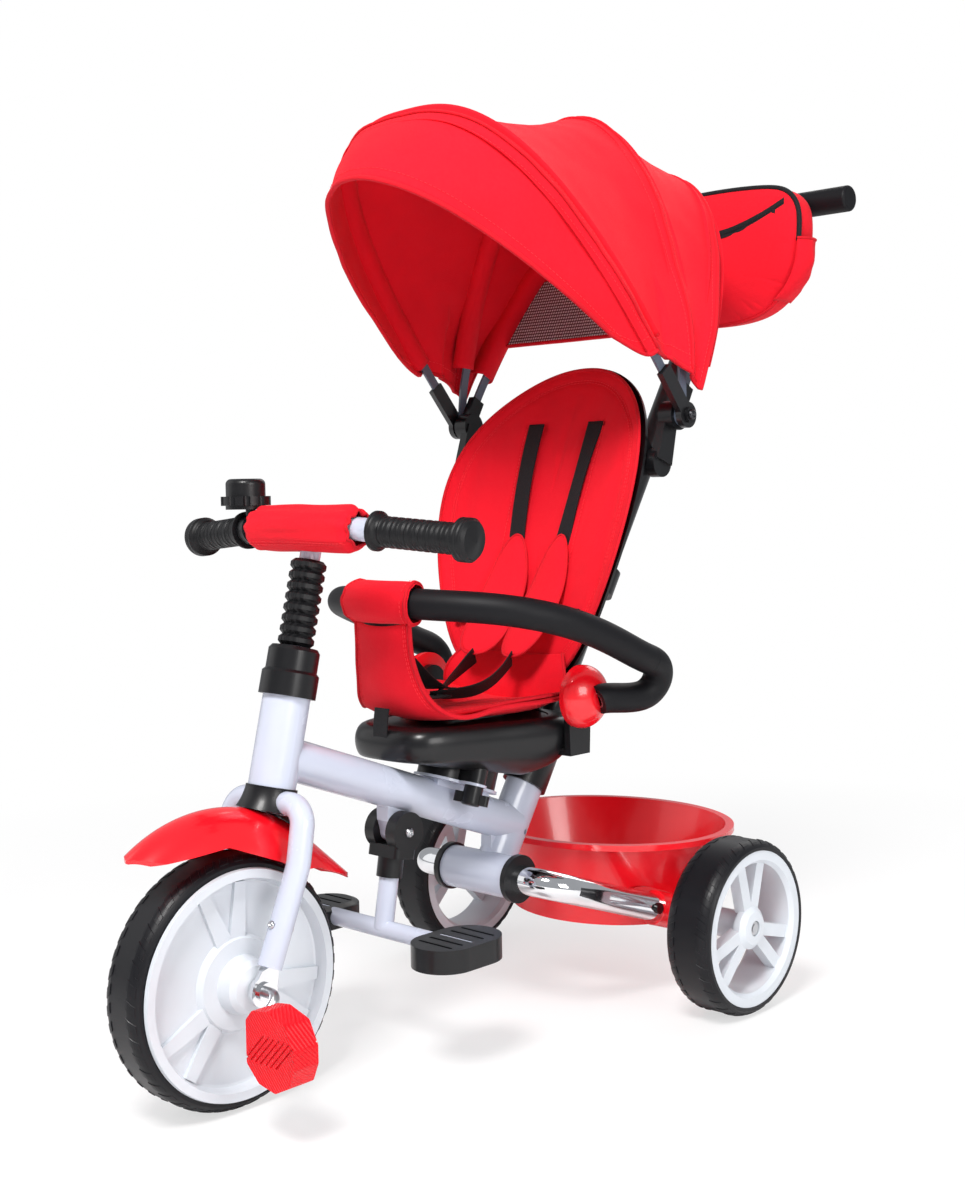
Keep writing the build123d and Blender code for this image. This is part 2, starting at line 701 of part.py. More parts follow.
for side, sign, middle in (("left", 1, left_pedal), ("right", -1, right_pedal)):
    inner_x = sign * pedal_inner_x
    half_high = pedal_height / 2
    with BuildPart() as pedal:
        with BuildSketch(Plane(origin=middle + Vector(0, -pedal_thickness / 2, 0), x_dir=(1, 0, 0),
                               z_dir=(0, -1, 0))):
            with BuildLine():
                Polyline(
                    (inner_x, half_high - 14), (inner_x, -half_high + 20),
                    (inner_x + sign * 18, -half_high + 4), (inner_x + sign * 42, -half_high),
                    (inner_x + sign * (pedal_width - 8), -half_high + 10),
                    (inner_x + sign * pedal_width, -10), (inner_x + sign * pedal_width, 8),
                    (inner_x + sign * (pedal_width - 12), half_high - 8),
                    (inner_x + sign * 30, half_high), (inner_x + sign * 10, half_high - 3), close=True)
            make_face()
        extrude(amount=-pedal_thickness)
        fillet(pedal.edges().filter_by(Axis.Y), radius=6)
        # ribs of the tread, front and back
        for face_y, way in ((-pedal_thickness / 2, 1), (pedal_thickness / 2, -1)):
            with BuildSketch(Plane(origin=middle + Vector(sign * (pedal_inner_x + pedal_width / 2), face_y, 0),
                                   x_dir=(1, 0, 0), z_dir=(0, -1, 0))):
                for step in range(-3, 4):
                    with Locations(Location((step * 7.5, 0, 0), (0, 0, 45))):
                        Rectangle(40, 1.6)
            extrude(amount=-1.4 * way, mode=Mode.SUBTRACT)
        low_x = min(inner_x - sign * 2, sign * (spindle_end_x + 0.5))
        high_x = max(inner_x - sign * 2, sign * (spindle_end_x + 0.5))
        add(cross_rod(middle.Y, middle.Z, low_x, high_x, crank_rod_radius + running_clearance),
            mode=Mode.SUBTRACT)
    pedal.part.label = f"pedal_{side}"
    export_step(pedal.part, f"parts/pedal_{side}.step")

# ------------------------------------------------------------------ fork and its fittings
fork_points = [
    (-fork_leg_x, fork_end_y, fork_end_z),
    (-fork_leg_x, fork_knee_y, fork_knee_z),
    (-fork_shoulder_x, fork_crown_y, fork_crown_z),
    (fork_shoulder_x, fork_crown_y, fork_crown_z),
    (fork_leg_x, fork_knee_y, fork_knee_z),
    (fork_leg_x, fork_end_y, fork_end_z),
]
fork_bends = [60.0, 22.0, 22.0, 60.0]
fork_tube = bent_tube(fork_points, fork_bends, fork_tube_radius)
fork_core = bent_tube(fork_points, fork_bends, fork_tube_radius - fork_tube_wall)
with BuildPart() as fork:
    add(steer_rod(crown_drop, steerer_top, steerer_radius))
    add(steer_rod(0, steerer_top + 1, steerer_bore), mode=Mode.SUBTRACT)
    add(fork_tube)
    add(fork_core, mode=Mode.SUBTRACT)
fork.part.label = "fork"
export_step(fork.part, "parts/fork.step")

tip_plate_half = 2.5
tip_ring_radius = 16.0
tip_plug_length = 22.0
with BuildPart() as fork_tips:
    for sign in (-1, 1):
        leg_foot = Vector(sign * fork_leg_x, fork_end_y, fork_end_z)
        leg_up = (Vector(sign * fork_leg_x, fork_knee_y, fork_knee_z) - leg_foot).normalized()
        with BuildSketch(Plane(origin=leg_foot, z_dir=leg_up)):
            Circle(fork_tube_radius - fork_tube_wall - running_clearance)
        extrude(amount=tip_plug_length)
        # flattened end with the eye for the axle
        with BuildSketch(across_plane(sign * fork_leg_x - tip_plate_half, front_axle_y, front_axle_z)):
            Circle(tip_ring_radius)
            with BuildLine():
                Polyline(
                    (-tip_ring_radius, 2), (tip_ring_radius, 2),
                    (fork_end_y - front_axle_y + 11, fork_end_z - front_axle_z + 4),
                    (fork_end_y - front_axle_y - 11, fork_end_z - front_axle_z - 1), close=True)
            make_face()
        extrude(amount=2 * tip_plate_half)
    for sign in (-1, 1):
        low_x = min(sign * tip_boss_x, sign * (fork_leg_x + 6))
        high_x = max(sign * tip_boss_x, sign * (fork_leg_x + 6))
        add(cross_rod(front_axle_y, front_axle_z, low_x, high_x, 9.5))
    add(cross_rod(front_axle_y, front_axle_z, -100, 100, crank_rod_radius + running_clearance),
        mode=Mode.SUBTRACT)
fork_tips.part.label = "fork_tips"
export_step(fork_tips.part, "parts/fork_tips.step")

# fender: an arch swept back over the tyre, pointed at both ends
fender_start = Vector(0, fender_tip[0], fender_tip[1])
with BuildPart() as fender:
    with BuildLine() as fender_run:
        ThreePointArc(
            (0, fender_tip[0], fender_tip[1]),
            (0, fender_centre[0], fender_centre[1] + fender_radius),
            (0, fender_break[0], fender_break[1]))
        Line((0, fender_break[0], fender_break[1]), (0, fender_tail[0], fender_tail[1]))
    fender_out = (fender_start - Vector(0, fender_centre[0], fender_centre[1])).normalized()
    with BuildSketch(Plane(origin=fender_start, x_dir=(1, 0, 0), z_dir=Vector(1, 0, 0).cross(fender_out))):
        with Locations((0, -fender_depth)):
            Ellipse(fender_half_width, fender_depth)
            Ellipse(fender_half_width - fender_wall, fender_depth - fender_wall, mode=Mode.SUBTRACT)
        with Locations((0, -1.5 * fender_depth)):
            Rectangle(3 * fender_half_width, fender_depth, mode=Mode.SUBTRACT)
    sweep(path=fender_run.line)
    # side outline
    with BuildSketch(across_plane(-60, 0, 0)):
        with BuildLine():
            Polyline(*fender_lower_edge, (fender_tail[0] + 12, fender_tail[1]), (fender_tail[0] + 12, 400),
                     (fender_tip[0] - 12, 400), (fender_tip[0] - 12, fender_tip[1]), close=True)
        make_face()
    extrude(amount=120, mode=Mode.INTERSECT)
    # plan outline, pointed at the front and the tail
    with BuildSketch(Plane.XY):
        with BuildLine():
            Spline((0, fender_tip[0] + 1), (27, fender_tip[0] + 22), (38.5, fender_tip[0] + 62),
                   (38.5, fender_break[0] - 30), (29, fender_break[0] + 26), (0, fender_tail[0] - 1))
            mirror(about=Plane.YZ)
        make_face()
    extrude(amount=400, mode=Mode.INTERSECT)
    # hole for the crown bolt
    add(steer_rod(-120, 0, 4), mode=Mode.SUBTRACT)
fender.part.label = "fender"
export_step(fender.part, "parts/fender.step")

with BuildPart() as fender_envelope:
    with BuildSketch(across_plane(-60, fender_centre[0], fender_centre[1])):
        Circle(fender_radius + seat_gap)
    extrude(amount=120)
fork_clear = bent_tube(fork_points, fork_bends, fork_tube_radius + seat_gap)
with BuildPart() as crown_cover:
    with BuildSketch(STEER.offset(cover_top)):
        Circle(head_tube_radius + 2)
    with BuildSketch(STEER.offset(cover_top - 10)):
        Ellipse(head_tube_radius + 3, head_tube_radius + 4)
    with BuildSketch(STEER.offset(cover_top - 26)):
        Ellipse(fork_shoulder_x - 22, 37)
    with BuildSketch(STEER.offset(cover_bottom)):
        Ellipse(fork_shoulder_x - 13, 50)
    loft()
    add(fork_clear, mode=Mode.SUBTRACT)
    add(steer_rod(-100, 20, steerer_radius + running_clearance), mode=Mode.SUBTRACT)
    add(fender_envelope.part, mode=Mode.SUBTRACT)
crown_cover.part.label = "crown_cover"
export_step(crown_cover.part, "parts/crown_cover.step")

ring_bore = steerer_radius + running_clearance
with BuildPart() as head_ring_lower:
    add(steer_revolved([
        (ring_bore, cover_top + seat_gap), (27, cover_top + seat_gap), (27, -seat_gap),
        (head_tube_bore - running_clearance, -seat_gap), (head_tube_bore - running_clearance, 9),
        (ring_bore, 9)]))
head_ring_lower.part.label = "head_ring_lower"
export_step(head_ring_lower.part, "parts/head_ring_lower.step")

cap_foot = head_tube_length - 18
cap_shoulder = head_tube_length + seat_gap
with BuildPart() as head_cap:
    add(steer_revolved([
        (head_tube_radius + 0.1, cap_foot), (30, cap_foot), (30, cap_shoulder + 6), (27, cap_shoulder + 9),
        (27, cap_top - 4), (24, cap_top), (ring_bore, cap_top), (ring_bore, head_tube_length - 9),
        (head_tube_bore - running_clearance, head_tube_length - 9),
        (head_tube_bore - running_clearance, cap_shoulder), (head_tube_radius + 0.1, cap_shoulder)]))
head_cap.part.label = "head_cap"
export_step(head_cap.part, "parts/head_cap.step")

# ------------------------------------------------------------------ handlebar
bar_points = [
    (-handlebar_end[0], handlebar_end[1], handlebar_end[2]),
    (-handlebar_flat_x, handlebar_middle_y, handlebar_middle_z),
    (handlebar_flat_x, handlebar_middle_y, handlebar_middle_z),
    handlebar_end,
]
stem_top = (handlebar_middle_z - head_bottom_z) / cos(rake) - 2.0
with BuildPart() as handlebar:
    add(bent_tube(bar_points, 45.0, handlebar_radius))
    add(steer_rod(steerer_top - 42, stem_top, stem_radius))
    add(bent_tube(bar_points, 45.0, handlebar_radius - 1.5), mode=Mode.SUBTRACT)
handlebar.part.label = "handlebar"
export_step(handlebar.part, "parts/handlebar.step")

bellows_foot = cap_top + 1.0
bellows_pitch = (bellows_top - bellows_foot) / bellows_ribs
bellows_profile = [(stem_radius + running_clearance, bellows_top), (stem_radius + running_clearance, bellows_foot)]
for rib in range(bellows_ribs):
    rib_foot = bellows_foot + rib * bellows_pitch
    bellows_profile.append((bellows_radius - 3.5, rib_foot))
    bellows_profile.append((bellows_radius, rib_foot + 0.3 * bellows_pitch))
    bellows_profile.append((bellows_radius, rib_foot + 0.7 * bellows_pitch))
    bellows_profile.append((bellows_radius - 3.5, rib_foot + 0.99 * bellows_pitch))
with BuildPart() as bellows:
    add(steer_revolved(bellows_profile + [(bellows_radius - 3.5, bellows_top)]))
bellows.part.label = "bellows"
export_step(bellows.part, "parts/bellows.step")

grip_bore = handlebar_radius + 0.1
grip_outer = [(grip_bore, -grip_length), (20.5, -grip_length), (20.5, -grip_length + 4), (17.5, -grip_length + 8)]
grip_ribs = 11
rib_run = (grip_length - 22) / grip_ribs
for rib in range(grip_ribs):
    rib_foot = -grip_length + 8 + rib * rib_run
    grip_outer.append((grip_radius - 0.8, rib_foot + 0.35 * rib_run))
    grip_outer.append((grip_radius, rib_foot + 0.5 * rib_run))
    grip_outer.append((grip_radius, rib_foot + 0.85 * rib_run))
grip_outer += [(22, -11), (22, 0), (18.5, 4), (0, 5.5), (0, seat_gap), (grip_bore, seat_gap)]
for side, sign in (("left", 1), ("right", -1)):
    bar_end = Vector(sign * handlebar_end[0], handlebar_end[1], handlebar_end[2])
    bar_dir = (bar_end - Vector(sign * handlebar_flat_x, handlebar_middle_y, handlebar_middle_z)).normalized()
    with BuildPart() as grip:
        grip_section = Plane(origin=bar_end, x_dir=bar_dir.cross(Vector(0, 1, 0)).normalized(),
                             z_dir=bar_dir.cross(bar_dir.cross(Vector(0, 1, 0))).normalized())
        upright = 1 if grip_section.y_dir.dot(bar_dir) > 0 else -1
        with BuildSketch(grip_section):
            with BuildLine():
                Polyline(*[(radius, upright * along) for radius, along in grip_outer], close=True)
            make_face()
        revolve(axis=Axis(bar_end, bar_dir))
    grip.part.label = f"grip_{side}"
    export_step(grip.part, f"parts/grip_{side}.step")

# padded cloth sleeve over the middle of the bar
cover_radius = 25.5
cover_half = 81.0
cover_end = Vector(cover_half, handlebar_middle_y + 2.7, handlebar_middle_z - 1.2)
with BuildPart() as bar_cover:
    with BuildLine() as cover_run:
        Spline((-cover_end.X, cover_end.Y, cover_end.Z), (0, handlebar_middle_y, handlebar_middle_z),
               (cover_end.X, cover_end.Y, cover_end.Z))
    with BuildSketch(Plane(origin=cover_run.line @ 0, z_dir=cover_run.line % 0)):
        Circle(cover_radius)
    sweep(path=cover_run.line)
    fillet(bar_cover.faces().filter_by(GeomType.PLANE).edges(), radius=12)
    add(bent_tube(bar_points, 45.0, handlebar_radius + soft_gap), mode=Mode.SUBTRACT)
    add(steer_rod(steerer_top, stem_top + 1, stem_radius + soft_gap + 1), mode=Mode.SUBTRACT)
bar_cover.part.label = "bar_cover"
export_step(bar_cover.part, "parts/bar_cover.step")

# bell on the child's right
bell_clamp_x = -93.5
bar_fall = (handlebar_end[2] - handlebar_middle_z) / (handlebar_end[0] - handlebar_flat_x)
bar_back = (handlebar_end[1] - handlebar_middle_y) / (handlebar_end[0] - handlebar_flat_x)
clamp_point = Vector(bell_clamp_x, handlebar_middle_y + bar_back * (-bell_clamp_x - handlebar_flat_x),
                     handlebar_middle_z + bar_fall * (-bell_clamp_x - handlebar_flat_x))
right_bar_dir = Vector(-1, bar_back, bar_fall).normalized()
bell_point = Vector(bell_clamp_x - 8, handlebar_middle_y + 2, bell_foot_z)
with BuildPart() as bell_base:
    with BuildSketch(Plane(origin=clamp_point - right_bar_dir * 5.5, z_dir=right_bar_dir)):
        Circle(handlebar_radius + 4)
    extrude(amount=11)
    with BuildSketch(Plane(origin=(clamp_point.X, bell_point.Y, bell_point.Z - 18))):
        Circle(5.5)
    extrude(amount=16)
    with BuildSketch(Plane(origin=bell_point - Vector(0, 0, 4))):
        Circle(22)
    extrude(amount=4)
    with BuildSketch(Plane(origin=bell_point)):
        Circle(5)
    extrude(amount=12)
    bar_hole_plane = Plane(origin=clamp_point - right_bar_dir * 20, z_dir=right_bar_dir)
    with BuildSketch(bar_hole_plane):
        Circle(handlebar_radius + running_clearance)
    extrude(amount=40, mode=Mode.SUBTRACT)
bell_base.part.label = "bell_base"
export_step(bell_base.part, "parts/bell_base.step")

with BuildPart() as bell_dome:
    with BuildSketch(Plane(origin=bell_point + Vector(0, 0, seat_gap))):
        Circle(bell_ring_radius)
        with PolarLocations(bell_ring_radius + 1.2, 10):
            Circle(4, mode=Mode.SUBTRACT)
    extrude(amount=10)
    with BuildSketch(Plane(origin=bell_point + Vector(0, 0, 10 + seat_gap))):
        Circle(21.5)
    extrude(amount=19)
    fillet(bell_dome.faces().sort_by(Axis.Z)[-1].edges(), radius=6)
    with BuildSketch(Plane(origin=bell_point)):
        Circle(5 + running_clearance)
    extrude(amount=14, mode=Mode.SUBTRACT)
bell_dome.part.label = "bell_dome"
export_step(bell_dome.part, "parts/bell_dome.step")

# ------------------------------------------------------------------ saddle, its knob and the pole collar
saddle_edge_z = 322.0
plate_top = saddle_plate_offset + saddle_plate_thickness
plate_mid_plane = main_surface_plane(plate_middle_y, plate_top + seat_gap)
knob_offset = (knob_y - plate_middle_y) / cos(main_angle)
with BuildPart() as saddle:
    with BuildSketch(plate_mid_plane):
        SlotOverall(plate_length - 6, 62, rotation=90)
        with Locations((knob_x, knob_offset)):
            Circle(12)
        with Locations((knob_x - 14, knob_offset)):
            Rectangle(28, 24)
    extrude(amount=90)
    split(bisect_by=Plane.XY.offset(saddle_edge_z + 12), keep=Keep.BOTTOM)
    add(closed_outline(Plane.XY.offset(saddle_edge_z), [
        (0, saddle_front_y), (saddle_nose_half - 14, saddle_front_y + 3), (saddle_nose_half, saddle_front_y + 24),
        (saddle_nose_half + 16, saddle_front_y + 85), (saddle_rear_half - 10, saddle_front_y + 142),
        (saddle_rear_half, saddle_rear_y - 38), (saddle_rear_half - 34, saddle_rear_y - 5), (0, saddle_rear_y),
    ]))
    extrude(amount=saddle_top_z - saddle_edge_z)
    fillet(saddle.faces().sort_by(Axis.Z)[-1].edges(), radius=9)
    # shallow dish of the seat
    with BuildSketch(Plane(origin=(0, saddle_front_y + 60, saddle_top_z + 196), x_dir=(1, 0, 0),
                           z_dir=(0, -1, 0))):
        Circle(200)
    extrude(amount=-(saddle_rear_y - saddle_front_y - 80), mode=Mode.SUBTRACT)
    with BuildSketch(main_surface_plane(knob_y, plate_top - 1)):
        with Locations((knob_x, 0)):
            Circle(knob_shank_radius + running_clearance)
    extrude(amount=19, mode=Mode.SUBTRACT)
saddle.part.label = "saddle"
export_step(saddle.part, "parts/saddle.step")

knob_face = main_surface_plane(knob_y, saddle_plate_offset - seat_gap)
with BuildPart() as saddle_knob:
    with BuildSketch(knob_face):
        with Locations((knob_x, 0)):
            Circle(11)
    extrude(amount=-22)
    fillet(saddle_knob.faces().sort_by(Axis.Z)[0].edges(), radius=3)
    with BuildSketch(knob_face.offset(-8)):
        with Locations((knob_x, 0)):
            SlotOverall(40, 9, rotation=35)
    extrude(amount=-12)
    with BuildSketch(knob_face):
        with Locations((knob_x, 0)):
            Circle(knob_shank_radius)
    extrude(amount=16)
saddle_knob.part.label = "saddle_knob"
export_step(saddle_knob.part, "parts/saddle_knob.step")

collar_foot_z = 259.0
collar_step_z = seat_tube_top_z
collar_top_z = 311.0
with BuildPart() as pole_collar:
    with BuildSketch(seat_plane(collar_foot_z)):
        Ellipse(seat_tube_breadth / 2 + 4.5, seat_tube_depth / 2 + 4.5)
    extrude(amount=(collar_top_z - collar_foot_z) * seat_lean_length)
    fillet(pole_collar.faces().sort_by(Axis.Z)[-1].edges(), radius=5)
    with BuildSketch(seat_plane(collar_foot_z - 1)):
        Ellipse(seat_tube_breadth / 2 + running_clearance, seat_tube_depth / 2 + running_clearance)
    extrude(amount=(collar_step_z - collar_foot_z + 1) * seat_lean_length + seat_gap, mode=Mode.SUBTRACT)
    with BuildSketch(seat_plane(collar_foot_z)):
        Circle(pole_radius + running_clearance)
    extrude(amount=100, mode=Mode.SUBTRACT)
pole_collar.part.label = "pole_collar"
export_step(pole_collar.part, "parts/pole_collar.step")

# ------------------------------------------------------------------ backrest
back_run = Vector(0, back_top_y - back_foot_y, back_top_z - back_foot_z)
back_length = back_run.length
back_up = back_run.normalized()
back_normal = Vector(1, 0, 0).cross(back_up)
BACK = Plane(origin=(0, back_foot_y, back_foot_z), x_dir=(1, 0, 0), z_dir=back_normal)


def back_cross_plane(distance):
    """A plane square to the backrest at a distance up it; its own Y is towards the child."""
    return Plane(origin=BACK.origin + back_up * distance, x_dir=(-1, 0, 0), z_dir=back_up)


child_side = 1 if back_cross_plane(0).y_dir.dot(back_normal) > 0 else -1


def back_cylinder(radius, low, high):
    """The cylinder whose surface is the curve of the backrest."""
    with BuildPart() as body:
        with BuildSketch(back_cross_plane(low)):
            with Locations((0, child_side * back_curve_radius)):
                Circle(radius)
        extrude(amount=high - low)
    return body.part


def back_outline_block(inset, foot):
    """The outline of the backrest seen square on, as a block through it."""
    with BuildPart() as block:
        foot_half = back_foot_half_width - inset
        widest = back_half_width - inset
        top = back_length - inset
        outline = closed_outline(BACK, [
            (0, foot), (foot_half - 34, foot + 2), (foot_half, foot + 34), (widest - 22, back_widest - 110),
            (widest, back_widest), (widest * 0.84, back_widest + 0.55 * (top - back_widest)), (0, top),
        ])
        extrude(outline, amount=180, both=True)
    return block.part


canopy_lug_x = 138.0
canopy_lug_thickness = 7.6
canopy_pin_radius = 5.0
back_room = back_cylinder(back_curve_radius, -2, back_length + 20)
with BuildPart() as backrest_shell:
    add(back_cylinder(back_curve_radius + back_shell_thickness, 0, back_length))
    add(back_room, mode=Mode.SUBTRACT)
    add(back_outline_block(0, 0), mode=Mode.INTERSECT)
    # tail bolted behind the saddle
    tail_y = saddle.part.bounding_box().max.Y + seat_gap + back_shell_thickness / 2
    with BuildSketch(Plane.XY.offset(saddle_edge_z + 6)):
        with Locations((0, tail_y)):
            Rectangle(60, back_shell_thickness)
    extrude(amount=back_foot_z - saddle_edge_z + 2)
    # lugs that carry the canopy links
    for sign in (-1, 1):
        low_x = min(sign * canopy_lug_x, sign * (canopy_lug_x + canopy_lug_thickness))
        with BuildSketch(across_plane(low_x, canopy_foot_y, canopy_foot_z)):
            Circle(14)
            with BuildLine():
                Polyline((4, -13), (4, 13), (-14, 34), (-24, 20), (-28, -16), close=True)
            make_face()
        extrude(amount=canopy_lug_thickness)
    add(back_room, mode=Mode.SUBTRACT)
    add(cross_rod(canopy_foot_y, canopy_foot_z, -170, 170, canopy_pin_radius + running_clearance),
        mode=Mode.SUBTRACT)
backrest_shell.part.label = "backrest_shell"
export_step(backrest_shell.part, "parts/backrest_shell.step")

bracket_z = 500.0
bracket_up = (bracket_z - back_foot_z) / back_up.Z
bracket_start = BACK.origin + back_up * bracket_up - back_normal * (back_shell_thickness + seat_gap)
with BuildPart() as back_bracket:
    with BuildSketch(seat_plane(bracket_z - 15)):
        Circle(pole_radius + 7)
    extrude(amount=34)
    with BuildSketch(across_plane(-14, 0, 0)):
        with BuildLine():
            Polyline(
                (bracket_start.Y - 7, bracket_start.Z - 20), (bracket_start.Y + 8, bracket_start.Z + 20),
                (seat_axis_point(bracket_z).Y, bracket_z + 9), (seat_axis_point(bracket_z).Y, bracket_z - 9),
                close=True)
        make_face()
    extrude(amount=28)
    add(back_cylinder(back_curve_radius + back_shell_thickness + seat_gap, 0, back_length), mode=Mode.SUBTRACT)
    with BuildSketch(seat_plane(bracket_z - 40)):
        Circle(pole_radius + running_clearance)
    extrude(amount=100, mode=Mode.SUBTRACT)
back_bracket.part.label = "back_bracket"
export_step(back_bracket.part, "parts/back_bracket.step")

with BuildPart() as backrest_pad:
    add(back_cylinder(back_curve_radius - soft_gap, 4, back_length - 4))
    add(back_cylinder(back_curve_radius - soft_gap - back_pad_thickness, 0, back_length), mode=Mode.SUBTRACT)
    add(back_outline_block(5, 4), mode=Mode.INTERSECT)
backrest_pad.part.label = "backrest_pad"
export_step(backrest_pad.part, "parts/backrest_pad.step")

# ------------------------------------------------------------------ seat pad, apron and harness
pad_foot_z = saddle_top_z + soft_gap
pad_half_width = 109.0
pad_front_y = -122.0
pad_rear_y = 44.0
pad_side_rise = 20.0
pad_dish_radius = (pad_half_width ** 2 + pad_side_rise ** 2) / (2 * pad_side_rise)
with BuildPart() as seat_pad:
    add(closed_outline(Plane.XY.offset(pad_foot_z), [
        (0, pad_front_y), (pad_half_width - 40, pad_front_y + 4), (pad_half_width - 8, pad_front_y + 52),
        (pad_half_width, pad_rear_y - 54), (pad_half_width - 16, pad_rear_y - 8), (0, pad_rear_y),
    ]))
    extrude(amount=seat_pad_thickness + pad_side_rise)
    with BuildSketch(Plane(origin=(0, -300, pad_foot_z + seat_pad_thickness + pad_dish_radius),
                           x_dir=(1, 0, 0), z_dir=(0, -1, 0))):
        Circle(pad_dish_radius)
    extrude(amount=-600, mode=Mode.SUBTRACT)
    # room for the foot of the backrest
    with BuildSketch(across_plane(-200, 0, 0)):
        with BuildLine():
            Polyline((pad_rear_y - 44, pad_foot_z + 60), (pad_rear_y - 30, back_foot_z - 8),
                     (pad_rear_y + 20, back_foot_z - 10), (pad_rear_y + 20, pad_foot_z + 60), close=True)
        make_face()
    extrude(amount=400, mode=Mode.SUBTRACT)
seat_pad.part.label = "seat_pad"
export_step(seat_pad.part, "parts/seat_pad.step")

# ------------------------------------------------------------------ guard bar
guard_half = [
    (0, -172, 496), (58, -158, 494), (110, -132, 491), (150, -93, 483), (173, -41, 467), (181, 18, 443),
    (183, 62, 424), (181, 84, 413), (176, 91, 398), (170, 84, 384), (163, 64, 378), (150, 15, 379),
]
guard_points = [(-x, y, z) for x, y, z in reversed(guard_half[1:])] + guard_half
ear_thickness = 8.0
ear_x = guard_dome_x - ear_thickness - seat_gap
dome_depth = 30.0
dome_base = 6.0
guard_pin_radius = 6.0


def guard_sweep(radius):
    """A round bar along the guard's line."""
    with BuildPart() as bar:
        with BuildLine() as run:
            Spline(*guard_points)
        with BuildSketch(Plane(origin=run.line @ 0, z_dir=run.line % 0)):
            Circle(radius)
        sweep(path=run.line)
    return bar.part



def dome_body(clearance=0.0):
    """The two domes, alone or with room around them."""
    with BuildPart() as domes:
        for sign in (-1, 1):
            with BuildSketch(side_plane(guard_pivot_y, guard_pivot_z, sign * guard_dome_x)):
                with BuildLine():
                    edge = guard_dome_radius + clearance
                    tip = sign * (dome_depth + clearance)
                    Line((0, 0), (0, edge))
                    Line((0, edge), (sign * dome_base, edge))
                    Spline((sign * dome_base, edge), (0.62 * tip + sign * 3, 0.72 * edge), (tip, 0),
                           tangents=((sign, -0.15), (0, -1)))
                    Line((tip, 0), (0, 0))
                make_face()
            revolve(axis=across_axis(guard_pivot_y, guard_pivot_z))
    return domes.part


with BuildPart() as guard_domes:
    add(dome_body())
    add(guard_sweep(guard_tube_radius + running_clearance), mode=Mode.SUBTRACT)
    add(cross_rod(guard_pivot_y, guard_pivot_z, -guard_dome_x - 14, guard_dome_x + 14,
                  guard_pin_radius + running_clearance), mode=Mode.SUBTRACT)
guard_domes.part.label = "guard_domes"
export_step(guard_domes.part, "parts/guard_domes.step")

with BuildPart() as guard_bar:
    add(guard_sweep(guard_tube_radius))
    add(guard_sweep(guard_tube_radius - 1.5), mode=Mode.SUBTRACT)
guard_bar.part.label = "guard_bar"
export_step(guard_bar.part, "parts/guard_bar.step")

with BuildPart() as guard_foam:
    add(guard_sweep(guard_foam_radius))
    add(guard_sweep(guard_tube_radius + 0.1), mode=Mode.SUBTRACT)
    add(dome_body(2 * seat_gap), mode=Mode.SUBTRACT)
    add(cross_rod(guard_pivot_y, guard_pivot_z, -guard_dome_x - 15, guard_dome_x + 15, guard_pin_radius + 3),
        mode=Mode.SUBTRACT)
guard_foam.part.label = "guard_foam"
export_step(guard_foam.part, "parts/guard_foam.step")

guard_sleeve_half = 46.0
guard_sleeve_radius = 24.0
with BuildPart() as guard_sleeve:
    add(guard_sweep(guard_sleeve_radius))
    add(guard_sweep(guard_foam_radius + soft_gap), mode=Mode.SUBTRACT)
    with BuildSketch(across_plane(-guard_sleeve_half, -172, 496)):
        Rectangle(120, 120)
    extrude(amount=2 * guard_sleeve_half, mode=Mode.INTERSECT)
guard_sleeve.part.label = "guard_sleeve"
export_step(guard_sleeve.part, "parts/guard_sleeve.step")

with BuildPart() as guard_ears:
    for sign in (-1, 1):
        plate_x = min(sign * ear_x, sign * (ear_x + ear_thickness))
        with BuildSketch(across_plane(plate_x, guard_pivot_y, guard_pivot_z)):
            Circle(21)
            with BuildLine():
                Polyline((-20, 0), (20, 0), (17, saddle_edge_z - guard_pivot_z - 8),
                         (-17, saddle_edge_z - guard_pivot_z - 8), close=True)
            make_face()
        extrude(amount=ear_thickness)
        # foot under the saddle's edge
        foot_x = min(sign * (ear_x - 34), sign * (ear_x + 1))
        with BuildSketch(across_plane(foot_x, guard_pivot_y, saddle_edge_z - seat_gap - 3.9)):
            Rectangle(34, 7.8)
        extrude(amount=35)
        pin_low = min(sign * ear_x, sign * (guard_dome_x + 13))
        pin_high = max(sign * ear_x, sign * (guard_dome_x + 13))
        add(cross_rod(guard_pivot_y, guard_pivot_z, pin_low, pin_high, guard_pin_radius))
guard_ears.part.label = "guard_ears"
export_step(guard_ears.part, "parts/guard_ears.step")

# apron from the guard down between the child's legs
apron_thickness = 3.0
apron_top = (-172.0 - 10.0, 496.0 - guard_sleeve_radius - 4.0)
apron_foot = (pad_front_y - 16.0, saddle_top_z + soft_gap)
with BuildPart() as seat_apron:
    apron_run = Vector(0, apron_foot[0] - apron_top[0], apron_foot[1] - apron_top[1])
    apron_plane = Plane(origin=(0, apron_top[0], apron_top[1]), x_dir=(1, 0, 0),
                        z_dir=Vector(1, 0, 0).cross(apron_run).normalized())
    apron_way = 1 if apron_plane.y_dir.dot(apron_run) > 0 else -1
    with BuildSketch(apron_plane):
        with BuildLine():
            Spline((42, 0), (44, 0.5 * apron_way * apron_run.length), (74, apron_way * apron_run.length))
            Line((74, apron_way * apron_run.length), (0, apron_way * apron_run.length))
            Line((0, 0), (42, 0))
            mirror(about=Plane.YZ)
        make_face()
    extrude(amount=apron_thickness)
seat_apron.part.label = "seat_apron"
export_step(seat_apron.part, "parts/seat_apron.step")

